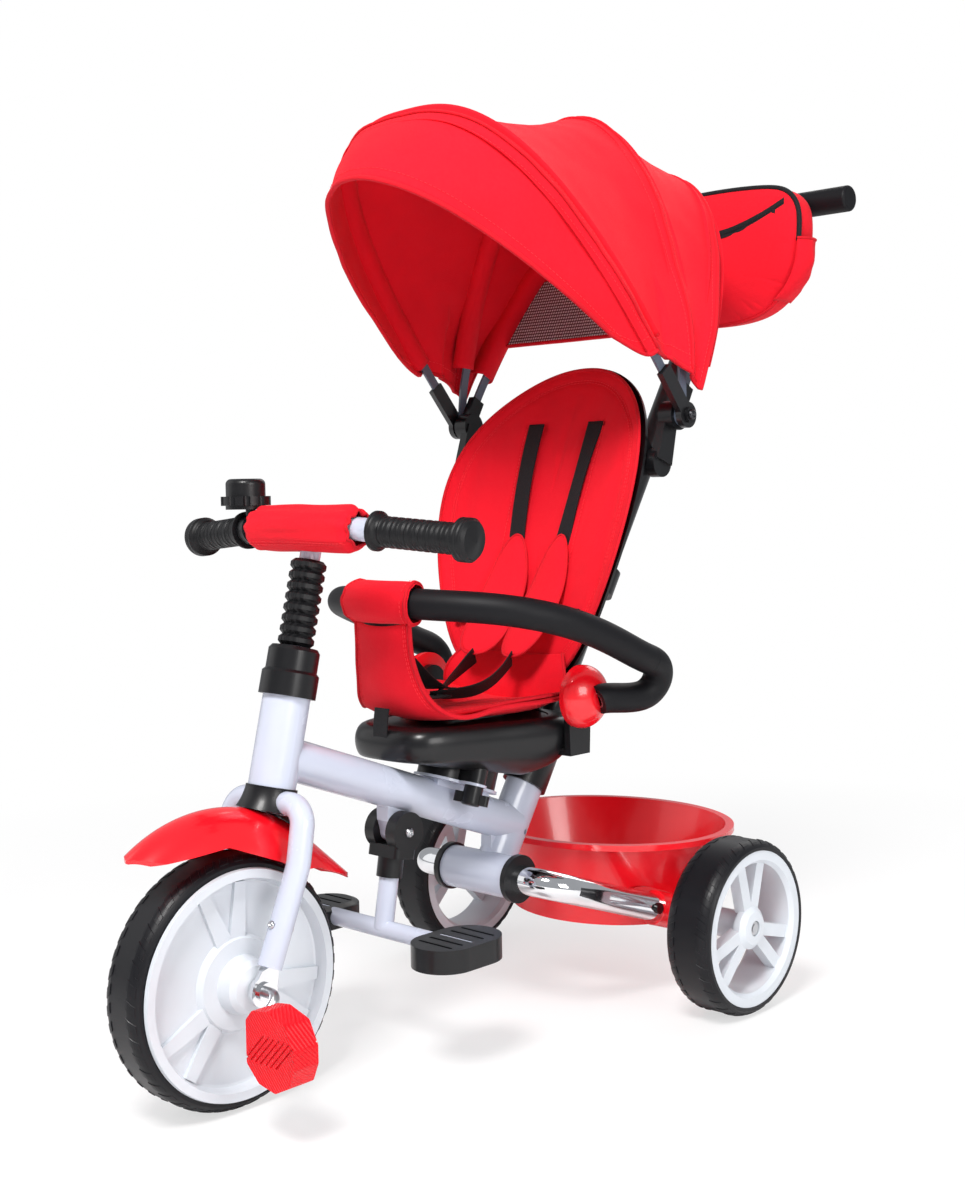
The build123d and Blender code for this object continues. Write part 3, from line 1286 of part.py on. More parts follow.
# harness: two shoulder straps down the pad and the waist belt across it
strap_width = 26.0
strap_x = 44.0
strap_foot_x = 27.0
strap_top = 320.0
strap_foot = 74.0
strap_thickness = 2.0
strap_inner_radius = back_curve_radius - soft_gap - back_pad_thickness - 0.4
with BuildPart() as harness:
    add(back_cylinder(strap_inner_radius, 70, 330))
    add(back_cylinder(strap_inner_radius - strap_thickness, 0, 400), mode=Mode.SUBTRACT)
    with BuildSketch(BACK.offset(-20)):
        for sign in (-1, 1):
            with BuildLine():
                Polyline((sign * (strap_x - strap_width / 2), strap_top), (sign * (strap_x + strap_width / 2), strap_top),
                         (sign * (strap_foot_x + strap_width / 2), strap_foot),
                         (sign * (strap_foot_x - strap_width / 2), strap_foot), close=True)
            make_face()
        with Locations((0, 86)):
            Rectangle(2 * (back_foot_half_width - 10), 28)
    extrude(amount=200, mode=Mode.INTERSECT)
harness.part.label = "harness"
export_step(harness.part, "parts/harness.step")

# ------------------------------------------------------------------ footrest
rest_run = Vector(0, footrest_bar_y - footrest_pivot_y, footrest_bar_z - footrest_pivot_z)
rest_down = rest_run.normalized()
disc_inner_x = tongue_half + 0.5
disc_outer_x = 24.0
post_radius = 11.0
socket_start = 31.0
with BuildPart() as footrest_hub:
    for sign in (-1, 1):
        low_x = min(sign * disc_inner_x, sign * disc_outer_x)
        with BuildSketch(across_plane(low_x, footrest_pivot_y, footrest_pivot_z)):
            Circle(footrest_disc_radius)
        extrude(amount=disc_outer_x - disc_inner_x)
    # bridge below the tongue, with the socket of the post
    with BuildSketch(Plane(origin=Vector(0, footrest_pivot_y, footrest_pivot_z) + rest_down * 16,
                           x_dir=(1, 0, 0), z_dir=rest_down)):
        RectangleRounded(2 * disc_outer_x, 30, 5)
    extrude(amount=14)
    with BuildSketch(Plane(origin=Vector(0, footrest_pivot_y, footrest_pivot_z) + rest_down * 24,
                           x_dir=(1, 0, 0), z_dir=rest_down)):
        Circle(post_radius + 3.5)
    extrude(amount=28)
    with BuildSketch(Plane(origin=Vector(0, footrest_pivot_y, footrest_pivot_z) + rest_down * socket_start,
                           x_dir=(1, 0, 0), z_dir=rest_down)):
        Circle(post_radius + running_clearance)
    extrude(amount=40, mode=Mode.SUBTRACT)
    add(cross_rod(footrest_pivot_y, footrest_pivot_z, -disc_outer_x, disc_outer_x, footrest_bolt_radius))
footrest_hub.part.label = "footrest_hub"
export_step(footrest_hub.part, "parts/footrest_hub.step")

with BuildPart() as footrest_frame:
    with BuildSketch(Plane(origin=Vector(0, footrest_pivot_y, footrest_pivot_z)
                           + rest_down * (socket_start + seat_gap), x_dir=(1, 0, 0), z_dir=rest_down)):
        Circle(post_radius)
    extrude(amount=rest_run.length - socket_start)
    add(cross_rod(footrest_bar_y, footrest_bar_z, -foot_pad_outer_x + 5, foot_pad_outer_x - 5,
                  footrest_bar_radius))
    add(cross_rod(footrest_bar_y, footrest_bar_z, -foot_pad_outer_x, foot_pad_outer_x,
                  footrest_bar_radius - frame_wall), mode=Mode.SUBTRACT)
footrest_frame.part.label = "footrest_frame"
export_step(footrest_frame.part, "parts/footrest_frame.step")

foot_pad_width = foot_pad_outer_x - foot_pad_inner_x
with BuildPart() as footrest_pads:
    for sign in (-1, 1):
        with BuildSketch(Plane.XY.offset(footrest_bar_z - foot_pad_thickness / 2 - 2)):
            with Locations((sign * (foot_pad_inner_x + foot_pad_outer_x) / 2, footrest_bar_y)):
                SlotOverall(foot_pad_length, foot_pad_width * 0.98, rotation=90)
        extrude(amount=foot_pad_thickness)
    chamfer(footrest_pads.faces().sort_by(Axis.Z)[-1].edges(), length=4)
    chamfer(footrest_pads.faces().sort_by(Axis.Z)[-2].edges(), length=4)
    # grooves of the tread
    for sign in (-1, 1):
        with BuildSketch(Plane.XY.offset(footrest_bar_z + foot_pad_thickness / 2 - 3.5)):
            with Locations((sign * (foot_pad_inner_x + foot_pad_outer_x) / 2, footrest_bar_y)):
                with GridLocations(0, 16, 1, 5):
                    SlotOverall(foot_pad_width - 24, 4)
        extrude(amount=4, mode=Mode.SUBTRACT)
    add(cross_rod(footrest_bar_y, footrest_bar_z, -foot_pad_outer_x + 4.5, foot_pad_outer_x - 4.5,
                  footrest_bar_radius + running_clearance), mode=Mode.SUBTRACT)
footrest_pads.part.label = "footrest_pads"
export_step(footrest_pads.part, "parts/footrest_pads.step")

# ------------------------------------------------------------------ push handle and bag
handle_point = seat_axis_point(handle_z)
pole_length = (handle_z - pole_foot_z) * seat_lean_length
grip_foam_inner_x = 60.0
with BuildPart() as push_pole:
    with BuildSketch(seat_plane(pole_foot_z)):
        Circle(pole_radius)
    extrude(amount=pole_length)
    add(cross_rod(handle_point.Y, handle_point.Z, -handle_half_width + 5, handle_half_width - 5,
                  handle_tube_radius))
    with BuildSketch(seat_plane(pole_foot_z)):
        Circle(pole_radius - frame_wall)
    extrude(amount=pole_length - handle_tube_radius, mode=Mode.SUBTRACT)
    add(cross_rod(handle_point.Y, handle_point.Z, -handle_half_width, handle_half_width,
                  handle_tube_radius - frame_wall), mode=Mode.SUBTRACT)
push_pole.part.label = "push_pole"
export_step(push_pole.part, "parts/push_pole.step")

with BuildPart() as handle_foam:
    for sign in (-1, 1):
        low_x = min(sign * grip_foam_inner_x, sign * handle_half_width)
        add(cross_rod(handle_point.Y, handle_point.Z, low_x,
                      low_x + handle_half_width - grip_foam_inner_x, handle_foam_radius))
    fillet(handle_foam.faces().sort_by(Axis.X)[-1].edges(), radius=4)
    fillet(handle_foam.faces().sort_by(Axis.X)[0].edges(), radius=4)
    add(cross_rod(handle_point.Y, handle_point.Z, -handle_half_width + 4.8, handle_half_width - 4.8,
                  handle_tube_radius + 0.1), mode=Mode.SUBTRACT)
handle_foam.part.label = "handle_foam"
export_step(handle_foam.part, "parts/handle_foam.step")

bag_fabric = 2.0
bag_back_y = handle_point.Y - handle_foam_radius - soft_gap
bag_height = bag_top_z - bag_bottom_z
bag_middle_z = (bag_bottom_z + bag_top_z) / 2


def bag_outline(depth, share):
    """The bag's outline at a distance in front of its back panel."""
    half = bag_half_width * share
    rise = bag_height / 2 * share
    return closed_outline(
        Plane(origin=(0, bag_back_y - depth, bag_middle_z), x_dir=(1, 0, 0), z_dir=(0, -1, 0)),
        [(0, -rise), (0.7 * half, -0.78 * rise), (0.97 * half, -0.1 * rise), (0.98 * half, 0.6 * rise),
         (0.7 * half, 0.93 * rise), (0, rise)])


with BuildPart() as parent_bag:
    loft(sections=[bag_outline(0, 1.0), bag_outline(0.6 * bag_depth, 0.99), bag_outline(bag_depth, 0.86)])
    with BuildSketch(Plane(origin=(0, bag_back_y - bag_fabric, 0), x_dir=(1, 0, 0), z_dir=(0, -1, 0))):
        with Locations((0, bag_middle_z + 12)):
            RectangleRounded(1.4 * bag_half_width, 0.62 * bag_height, 30)
    extrude(amount=bag_depth - 2 * bag_fabric, mode=Mode.SUBTRACT)
    # room for the pole and the bar behind it
    with BuildSketch(seat_plane(700)):
        Circle(pole_radius + soft_gap)
    extrude(amount=500, mode=Mode.SUBTRACT)
parent_bag.part.label = "parent_bag"
export_step(parent_bag.part, "parts/parent_bag.step")

# ------------------------------------------------------------------ canopy
arch_steps = 14
hub_radius = 15.0
hub_inner_x = 160.0
hub_face_x = 174.2
middle_ring_x = 174.6
middle_ring_thickness = 4.4
front_socket_x = 179.3
front_socket_thickness = 7.7
socket_reach = 66.0
rear_socket_reach = 40.0
rear_socket_thickness = 10.6


def bow_plane(angle):
    """The plane of a bow through the canopy's pivots; its own Y points up along the bow."""
    lean = radians(angle)
    return Plane(origin=(0, canopy_pivot_y, canopy_pivot_z), x_dir=(1, 0, 0), z_dir=(0, -cos(lean), -sin(lean)))


def bow_point(angle, reach):
    """A point in the side view, at a distance from the pivot along a bow: (y, z)."""
    lean = radians(angle)
    return (canopy_pivot_y - reach * sin(lean), canopy_pivot_z + reach * cos(lean))


def arch_curve_points(shape, inset=0.0):
    """Points of the arch from the left foot over the top to the right foot."""
    points = []
    for step in range(arch_steps + 1):
        turn = pi * step / arch_steps
        across = abs(cos(turn)) ** (2 / shape["power"])
        points.append((
            (shape["half"] - inset) * across * (1 if step <= arch_steps / 2 else -1),
            (shape["reach"] - inset) * sin(turn) ** (2 / shape["power"]) if 0 < step < arch_steps else 0.0,
        ))
    return points


def arch_band(shape, offset, thickness):
    """The cross-section of an arched strip: a sketch in the bow's plane."""
    outer = arch_curve_points(shape)
    inner = arch_curve_points(shape, thickness)
    with BuildSketch(bow_plane(shape["angle"]).offset(offset)) as band:
        with BuildLine():
            Spline(*outer, tangents=((0, 1), (0, -1)))
            Line(outer[-1], inner[-1])
            Spline(*inner, tangents=((0, 1), (0, -1)))
            Line(inner[0], outer[0])
        make_face()
    return band.sketch


def bow_strip(shape, clearance=0.0):
    """The flat steel strip of a bow."""
    grown = dict(shape, half=shape["half"] + clearance, reach=shape["reach"] + clearance)
    with BuildPart() as strip:
        extrude(arch_band(grown, 0, bow_thickness + 2 * clearance), amount=bow_width / 2 + clearance, both=True)
    return strip.part


def foot_socket(shape, low_x, thickness, reach):
    """A flat socket on each side that runs from the pivot up a bow's leg."""
    with BuildPart() as sockets:
        for sign in (-1, 1):
            plate_x = min(sign * low_x, sign * (low_x + thickness))
            lean = radians(shape["angle"])
            with BuildSketch(across_plane(plate_x, canopy_pivot_y, canopy_pivot_z)):
                Circle(hub_radius)
                with Locations(Location((-reach / 2 * sin(lean), reach / 2 * cos(lean), 0),
                                        (0, 0, degrees(lean)))):
                    Rectangle(bow_width + 7, reach)
            extrude(amount=thickness)
    return sockets.part


link_offset_x = 153.0
with BuildPart() as canopy_arms:
    for sign in (-1, 1):
        # foot hub on the backrest's lug
        low_x = min(sign * (canopy_lug_x + canopy_lug_thickness + seat_gap), sign * hub_inner_x)
        add(cross_rod(canopy_foot_y, canopy_foot_z, low_x,
                      low_x + hub_inner_x - canopy_lug_x - canopy_lug_thickness - seat_gap, 17))
        pin_low = min(sign * (canopy_lug_x - 2), sign * link_offset_x)
        add(cross_rod(canopy_foot_y, canopy_foot_z, pin_low, pin_low + link_offset_x - canopy_lug_x + 2,
                      canopy_pin_radius))
        # link up to the pivot hub
        plate_x = min(sign * link_offset_x, sign * (hub_inner_x + 4))
        with BuildSketch(across_plane(plate_x, canopy_foot_y, canopy_foot_z)):
            with BuildLine():
                Polyline((-13, 6), (13, -4), (canopy_pivot_y - canopy_foot_y + 11, canopy_pivot_z - canopy_foot_z),
                         (canopy_pivot_y - canopy_foot_y - 11, canopy_pivot_z - canopy_foot_z + 4), close=True)
            make_face()
        extrude(amount=hub_inner_x + 4 - link_offset_x)
        hub_low = min(sign * (link_offset_x + 2), sign * hub_face_x)
        add(cross_rod(canopy_pivot_y, canopy_pivot_z, hub_low, hub_low + hub_face_x - link_offset_x - 2,
                      hub_radius + 2))
        # pivot pin with its head
        pin_low = min(sign * hub_inner_x, sign * 191)
        add(cross_rod(canopy_pivot_y, canopy_pivot_z, pin_low, pin_low + 31, canopy_pin_radius))
        head_low = min(sign * 187.4, sign * 191)
        add(cross_rod(canopy_pivot_y, canopy_pivot_z, head_low, head_low + 3.6, 9))
    add(foot_socket(rear_bow, rear_bow["half"] - 7, rear_socket_thickness, rear_socket_reach))
    add(bow_strip(rear_bow, running_clearance), mode=Mode.SUBTRACT)
canopy_arms.part.label = "canopy_arms"
export_step(canopy_arms.part, "parts/canopy_arms.step")

with BuildPart() as canopy_bow_rear:
    add(bow_strip(rear_bow))
canopy_bow_rear.part.label = "canopy_bow_rear"
export_step(canopy_bow_rear.part, "parts/canopy_bow_rear.step")

with BuildPart() as canopy_bow_middle:
    add(bow_strip(middle_bow))
    for sign in (-1, 1):
        ring_low = min(sign * middle_ring_x, sign * (middle_ring_x + middle_ring_thickness))
        add(cross_rod(canopy_pivot_y, canopy_pivot_z, ring_low, ring_low + middle_ring_thickness, 12))
    with BuildSketch(across_plane(-middle_ring_x, canopy_pivot_y, canopy_pivot_z)):
        Rectangle(60, 60)
    extrude(amount=2 * middle_ring_x, mode=Mode.SUBTRACT)
    add(cross_rod(canopy_pivot_y, canopy_pivot_z, -200, 200, canopy_pin_radius + running_clearance),
        mode=Mode.SUBTRACT)
canopy_bow_middle.part.label = "canopy_bow_middle"
export_step(canopy_bow_middle.part, "parts/canopy_bow_middle.step")

with BuildPart() as canopy_bow_front:
    add(bow_strip(front_bow))
    add(cross_rod(canopy_pivot_y, canopy_pivot_z, -250, 250, hub_radius + 6), mode=Mode.SUBTRACT)
    add(foot_socket(front_bow, front_socket_x, front_socket_thickness, socket_reach))
    add(cross_rod(canopy_pivot_y, canopy_pivot_z, -260, 260, canopy_pin_radius + running_clearance),
        mode=Mode.SUBTRACT)
canopy_bow_front.part.label = "canopy_bow_front"
export_step(canopy_bow_front.part, "parts/canopy_bow_front.step")

# soft panels of the canopy
def fabric_section(shape, offset):
    """A thin arch of fabric in a plane parallel to a bow."""
    return arch_band(shape, offset, fabric_thickness)


def side_prism(corners):
    """A block across the canopy with a given outline in the side view."""
    with BuildPart() as prism:
        with BuildSketch(across_plane(-300, 0, 0)):
            with BuildLine():
                Polyline(*corners, close=True)
            make_face()
        extrude(amount=600)
    return prism.part


front_hem_reach = 92.0
middle_hem_reach = 52.0
rear_hem_reach = 40.0
bow_cover = bow_width / 2 + 0.6
front_low = bow_point(front_bow["angle"] + 3, front_hem_reach)
middle_low = bow_point(middle_bow["angle"], middle_hem_reach)
rear_low = bow_point(rear_bow["angle"] - 6, rear_hem_reach)
side_waste = side_prism([
    front_low, middle_low, rear_low, bow_point(rear_bow["angle"] - 30, 60), bow_point(-110, 500),
    bow_point(180, 500), bow_point(110, 500), bow_point(front_bow["angle"] + 40, 200),
])
with BuildPart() as canopy_panel_front:
    loft(sections=[
        fabric_section(front_seam, bow_cover),
        fabric_section(front_seam, -bow_cover),
        fabric_section(middle_seam, bow_cover),
        fabric_section(middle_seam, 0.2),
    ], ruled=True)
    add(side_waste, mode=Mode.SUBTRACT)
canopy_panel_front.part.label = "canopy_panel_front"
export_step(canopy_panel_front.part, "parts/canopy_panel_front.step")

with BuildPart() as canopy_panel_rear:
    loft(sections=[
        fabric_section(middle_seam, -0.2),
        fabric_section(middle_seam, -bow_cover),
        fabric_section(rear_seam, bow_cover),
        fabric_section(rear_seam, -bow_cover),
    ], ruled=True)
    add(side_waste, mode=Mode.SUBTRACT)
canopy_panel_rear.part.label = "canopy_panel_rear"
export_step(canopy_panel_rear.part, "parts/canopy_panel_rear.step")

visor_low = bow_point(visor_hem["angle"], 108)
visor_waste = side_prism([
    visor_low, bow_point(front_bow["angle"] + 4, 90), bow_point(0, 40), bow_point(-90, 300),
    bow_point(180, 500), bow_point(110, 600), bow_point(visor_hem["angle"] + 14, 170),
])
with BuildPart() as canopy_visor:
    loft(sections=[
        fabric_section(front_seam, bow_cover + 0.3),
        fabric_section(visor_hem, 0),
    ], ruled=True)
    add(visor_waste, mode=Mode.SUBTRACT)
canopy_visor.part.label = "canopy_visor"
export_step(canopy_visor.part, "parts/canopy_visor.step")

with BuildPart() as canopy_curtain:
    curtain_points = arch_curve_points(rear_seam)
    with BuildSketch(bow_plane(rear_bow["angle"]).offset(-bow_cover - 0.3)):
        with BuildLine():
            Spline(*curtain_points, tangents=((0, 1), (0, -1)))
            Line(curtain_points[-1], curtain_points[0])
        make_face()
    extrude(amount=-fabric_thickness)
    split(bisect_by=Plane.XY.offset(curtain_hem_z), keep=Keep.TOP)
canopy_curtain.part.label = "canopy_curtain"
export_step(canopy_curtain.part, "parts/canopy_curtain.step")
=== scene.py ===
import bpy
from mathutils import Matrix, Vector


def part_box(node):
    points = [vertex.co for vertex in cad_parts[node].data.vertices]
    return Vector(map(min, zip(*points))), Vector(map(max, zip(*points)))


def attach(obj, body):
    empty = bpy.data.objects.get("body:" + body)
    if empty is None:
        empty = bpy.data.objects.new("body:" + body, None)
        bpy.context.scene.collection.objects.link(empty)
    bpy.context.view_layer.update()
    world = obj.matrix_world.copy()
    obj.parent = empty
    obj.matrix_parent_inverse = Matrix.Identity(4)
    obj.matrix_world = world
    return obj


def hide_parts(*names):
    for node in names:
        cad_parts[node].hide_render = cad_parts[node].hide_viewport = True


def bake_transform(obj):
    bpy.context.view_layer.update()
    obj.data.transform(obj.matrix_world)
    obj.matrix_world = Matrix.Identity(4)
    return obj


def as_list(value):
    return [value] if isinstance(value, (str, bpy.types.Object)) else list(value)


bl_info = {
    "name": "Push Tricycle",
    "version": (1, 0, 0),
    "blender": (4, 5, 0),
    "location": "View3D > Sidebar > Tricycle",
    "description": "Dresses the tricycle frame with cloth, rubber, plastic and enamel",
    "category": "Object",
}

from math import asin, cos, pi, radians, sin, sqrt, tan

import bpy
import numpy as np
from mathutils import Quaternion, Vector, noise
from mathutils.bvhtree import BVHTree
from mathutils.kdtree import KDTree

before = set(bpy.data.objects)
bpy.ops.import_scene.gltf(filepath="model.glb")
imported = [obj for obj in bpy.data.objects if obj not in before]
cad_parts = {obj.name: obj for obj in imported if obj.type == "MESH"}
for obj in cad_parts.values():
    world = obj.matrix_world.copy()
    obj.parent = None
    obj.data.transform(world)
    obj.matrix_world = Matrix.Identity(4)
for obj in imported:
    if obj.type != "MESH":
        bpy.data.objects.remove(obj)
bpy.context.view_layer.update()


# ---------------------------------------------------------------- sizes and colours
def length_property(name, description, default):
    """A size in metres that the sidebar shows."""
    return bpy.props.FloatProperty(name=name, description=description, default=default, min=0.0, unit="LENGTH")


class TricycleSizes(bpy.types.PropertyGroup):
    """Sizes of the sewn parts and the tread"""
    cloth: length_property("Cloth", "Thickness of the canopy cloth", 0.0014)
    piping: length_property("Piping", "Radius of plain piping, which every sewn edge is a share of", 0.0020)
    stitch: length_property("Stitch", "Length of one stitch", 0.0032)
    webbing: length_property("Webbing", "Width of the harness webbing", 0.024)
    tread_height: length_property("Tread height", "Height of the shoulder blocks", 0.0008)
    tread_blocks: bpy.props.IntProperty(
        name="Tread blocks", description="Shoulder blocks around the front tyre", default=44, min=12, max=90)


def colour_property(name, description, default):
    """A colour that the sidebar shows."""
    return bpy.props.FloatVectorProperty(name=name, description=description, subtype="COLOR", size=4,
                                         min=0, max=1, default=default)


class TricycleColours(bpy.types.PropertyGroup):
    """Colours of the finishes and the floor"""
    enamel: colour_property("Enamel", "Colour of the painted frame and fork", (0.52, 0.555, 0.665, 1))
    red_cloth: colour_property("Red cloth", "Colour of canopy, pads and bag", (0.78, 0.0036, 0.017, 1))
    red_plastic: colour_property("Red plastic", "Colour of fender, basket and pedals", (0.80, 0.004, 0.012, 1))
    black: colour_property("Black", "Colour of black plastic, rubber and foam", (0.0045, 0.0045, 0.0055, 1))
    rim: colour_property("Rim", "Colour of the wheel discs", (0.60, 0.635, 0.68, 1))
    bow_grey: colour_property("Bow grey", "Colour of the canopy's flat bows", (0.085, 0.105, 0.145, 1))
    floor: colour_property("Floor", "Colour of the floor and background", (0.93, 0.93, 0.93, 1))


# ---------------------------------------------------------------- finishes
FINISHES = {}
NET_THREADS = 78.0


def node_tree(name):
    """A new material with its tree, its shader and the place on the object that patterns follow."""
    material = bpy.data.materials.new(name)
    material.use_nodes = True
    tree = material.node_tree
    shader = tree.nodes["Principled BSDF"]
    place = tree.nodes.new("ShaderNodeTexCoord")
    return material, tree, shader, place.outputs["Object"]


def add_noise(tree, place, scale, detail=3.0):
    """Cloudy noise."""
    texture = tree.nodes.new("ShaderNodeTexNoise")
    texture.inputs["Scale"].default_value = scale
    texture.inputs["Detail"].default_value = detail
    tree.links.new(place, texture.inputs["Vector"])
    return texture.outputs["Fac"]


def add_wave(tree, place, scale, direction, distortion=0.0):
    """Even ribs across one direction."""
    texture = tree.nodes.new("ShaderNodeTexWave")
    texture.bands_direction = direction
    texture.inputs["Scale"].default_value = scale
    texture.inputs["Distortion"].default_value = distortion
    tree.links.new(place, texture.inputs["Vector"])
    return texture.outputs["Fac"]


def two_tone(tree, shader, factor, colour, low, high):
    """Lets the colour drift between a low and a high share of itself."""
    ramp = tree.nodes.new("ShaderNodeValToRGB")
    ramp.color_ramp.elements[0].color = [c * low for c in colour[:3]] + [1]
    ramp.color_ramp.elements[1].color = [min(1.0, c * high) for c in colour[:3]] + [1]
    ramp.color_ramp.elements[0].position = 0.3
    ramp.color_ramp.elements[1].position = 0.7
    tree.links.new(factor, ramp.inputs["Fac"])
    tree.links.new(ramp.outputs["Color"], shader.inputs["Base Color"])


def vary_roughness(tree, shader, factor, low, high):
    """Lets the gloss drift between two values."""
    spread = tree.nodes.new("ShaderNodeMapRange")
    spread.inputs["To Min"].default_value = low
    spread.inputs["To Max"].default_value = high
    tree.links.new(factor, spread.inputs["Value"])
    tree.links.new(spread.outputs["Result"], shader.inputs["Roughness"])


def raise_surface(tree, shader, heights, strengths, distance=0.0004):
    """Adds fine relief, each height over the one before and over what the shader already has."""
    links = shader.inputs["Normal"].links
    normal = links[0].from_socket if links else None
    for height, strength in zip(heights, strengths):
        bump = tree.nodes.new("ShaderNodeBump")
        bump.inputs["Strength"].default_value = strength
        bump.inputs["Distance"].default_value = distance
        tree.links.new(height, bump.inputs["Height"])
        if normal is not None:
            tree.links.new(normal, bump.inputs["Normal"])
        normal = bump.outputs["Normal"]
    tree.links.new(normal, shader.inputs["Normal"])


def moulded(name, colour, roughness, grain, coat=0.0, tone=(0.9, 1.08), shine=0.5):
    """Moulded plastic, rubber, foam or enamel: grain, faint mottling and uneven gloss."""
    material, tree, shader, place = node_tree(name)
    fine = add_noise(tree, place, 900.0, 2.0)
    broad = add_noise(tree, place, 14.0, 4.0)
    two_tone(tree, shader, broad, colour, *tone)
    vary_roughness(tree, shader, broad, roughness * 0.82, roughness * 1.2)
    raise_surface(tree, shader, [fine, broad], [grain, grain * 0.5])
    shader.inputs["Coat Weight"].default_value = coat
    shader.inputs["Specular IOR Level"].default_value = shine
    shader.inputs["Coat Roughness"].default_value = 0.08
    FINISHES[name] = material
    return tree, shader, place


def woven(name, colour, scale, sheen=0.25, roughness=0.78):
    """Woven cloth: warp and weft ribs, slub and soft folds in the tone."""
    material, tree, shader, place = node_tree(name)
    warp = add_wave(tree, place, scale, "X", 0.6)
    weft = add_wave(tree, place, scale, "Z", 0.6)
    depth = add_wave(tree, place, scale, "Y", 0.6)
    slub = add_noise(tree, place, 260.0, 3.0)
    folds = add_noise(tree, place, 9.0, 3.0)
    two_tone(tree, shader, folds, colour, 0.90, 1.06)
    vary_roughness(tree, shader, slub, roughness * 0.9, min(1.0, roughness * 1.15))
    raise_surface(tree, shader, [warp, weft, depth, slub, folds], [0.22, 0.22, 0.16, 0.25, 0.3], 0.0003)
    shader.inputs["Sheen Weight"].default_value = sheen
    shader.inputs["Sheen Roughness"].default_value = 0.5
    shader.inputs["Specular IOR Level"].default_value = 0.22
    FINISHES[name] = material


def metal(name, colour, roughness, grain=0.03):
    """Bare or plated metal with a faint smear in its gloss."""
    material, tree, shader, place = node_tree(name)
    smear = add_noise(tree, place, 30.0, 4.0)
    fine = add_noise(tree, place, 700.0, 2.0)
    shader.inputs["Metallic"].default_value = 1.0
    two_tone(tree, shader, smear, colour, 0.94, 1.04)
    vary_roughness(tree, shader, smear, roughness * 0.7, roughness * 1.4)
    raise_surface(tree, shader, [fine], [grain])
    FINISHES[name] = material


def window_mesh(name):
    """Open net: dark threads crossing over a pale ground."""
    material, tree, shader, place = node_tree(name)
    upright = add_wave(tree, place, NET_THREADS, "X")
    level = add_wave(tree, place, NET_THREADS, "Z")
    thread = tree.nodes.new("ShaderNodeMath")
    thread.operation = "MAXIMUM"
    tree.links.new(upright, thread.inputs[0])
    tree.links.new(level, thread.inputs[1])
    ramp = tree.nodes.new("ShaderNodeValToRGB")
    ramp.color_ramp.elements[0].position = 0.55
    ramp.color_ramp.elements[0].color = (0.62, 0.64, 0.66, 1)
    ramp.color_ramp.elements[1].position = 0.80
    ramp.color_ramp.elements[1].color = (0.035, 0.04, 0.045, 1)
    tree.links.new(thread.outputs[0], ramp.inputs["Fac"])
    tree.links.new(ramp.outputs["Color"], shader.inputs["Base Color"])
    raise_surface(tree, shader, [thread.outputs[0]], [0.5])
    shader.inputs["Roughness"].default_value = 0.7
    FINISHES[name] = material


def ribbed(name, colour, roughness, scale, direction):
    """Moulded rubber or plastic with close ribs pressed into it."""
    tree, shader, place = moulded(name, colour, roughness, 0.08, shine=0.28)
    raise_surface(tree, shader, [add_wave(tree, place, scale, direction)], [0.7], 0.0010)


def socketed(name, colour, socket):
    """Grey bow paint with the black of its moulded socket round the pivot."""
    tree, shader, place = moulded(name, colour, 0.34, 0.03, 0.2)
    split = tree.nodes.new("ShaderNodeSeparateXYZ")
    tree.links.new(place, split.inputs[0])
    flat = tree.nodes.new("ShaderNodeCombineXYZ")
    tree.links.new(split.outputs["Y"], flat.inputs["Y"])
    tree.links.new(split.outputs["Z"], flat.inputs["Z"])
    away = tree.nodes.new("ShaderNodeVectorMath")
    away.operation = "DISTANCE"
    away.inputs[1].default_value = PIVOT
    tree.links.new(flat.outputs[0], away.inputs[0])
    beyond = tree.nodes.new("ShaderNodeMath")
    beyond.operation = "GREATER_THAN"
    beyond.inputs[1].default_value = SOCKET_REACH
    tree.links.new(away.outputs["Value"], beyond.inputs[0])
    mix = tree.nodes.new("ShaderNodeMix")
    mix.data_type = "RGBA"
    painted = shader.inputs["Base Color"].links[0].from_socket
    for item in mix.inputs:
        if item.type == "RGBA" and item.name == "A":
            item.default_value = socket
        if item.type == "RGBA" and item.name == "B":
            tree.links.new(painted, item)
    tree.links.new(beyond.outputs[0], mix.inputs["Factor"])
    shade = [item for item in mix.outputs if item.type == "RGBA"][0]
    tree.links.new(shade, shader.inputs["Base Color"])


def paint(obj, finish_name):
    """Gives an object its only finish."""
    obj.data.materials.clear()
    obj.data.materials.append(FINISHES[finish_name])
    return obj


# ---------------------------------------------------------------- mesh helpers
def make_object(name, verts, faces, finish_name, smooth=True):
    """A painted object from points and faces."""
    mesh = bpy.data.meshes.new(name)
    mesh.from_pydata([tuple(v) for v in verts], [], faces)
    mesh.validate()
    obj = bpy.data.objects.new(name, mesh)
    bpy.context.scene.collection.objects.link(obj)
    if smooth:
        mesh.shade_smooth()
    return paint(obj, finish_name)


def grid_faces(rows, columns, wrap=False):
    """Quads over rows of points, closed round each row if wrap is set."""
    faces = []
    for row in range(rows - 1):
        for column in range(columns if wrap else columns - 1):
            following = (column + 1) % columns
            faces.append((row * columns + column, row * columns + following,
                          (row + 1) * columns + following, (row + 1) * columns + column))
    return faces


def bake(obj, *modifiers):
    """Adds modifiers given as (type, settings) and applies them."""
    for kind, settings in modifiers:
        modifier = obj.modifiers.new(kind.title(), kind)
        for key, value in settings.items():
            setattr(modifier, key, value)
    depsgraph = bpy.context.evaluated_depsgraph_get()
    mesh = bpy.data.meshes.new_from_object(obj.evaluated_get(depsgraph))
    obj.modifiers.clear()
    old = obj.data
    obj.data = mesh
    bpy.data.meshes.remove(old)
    return obj


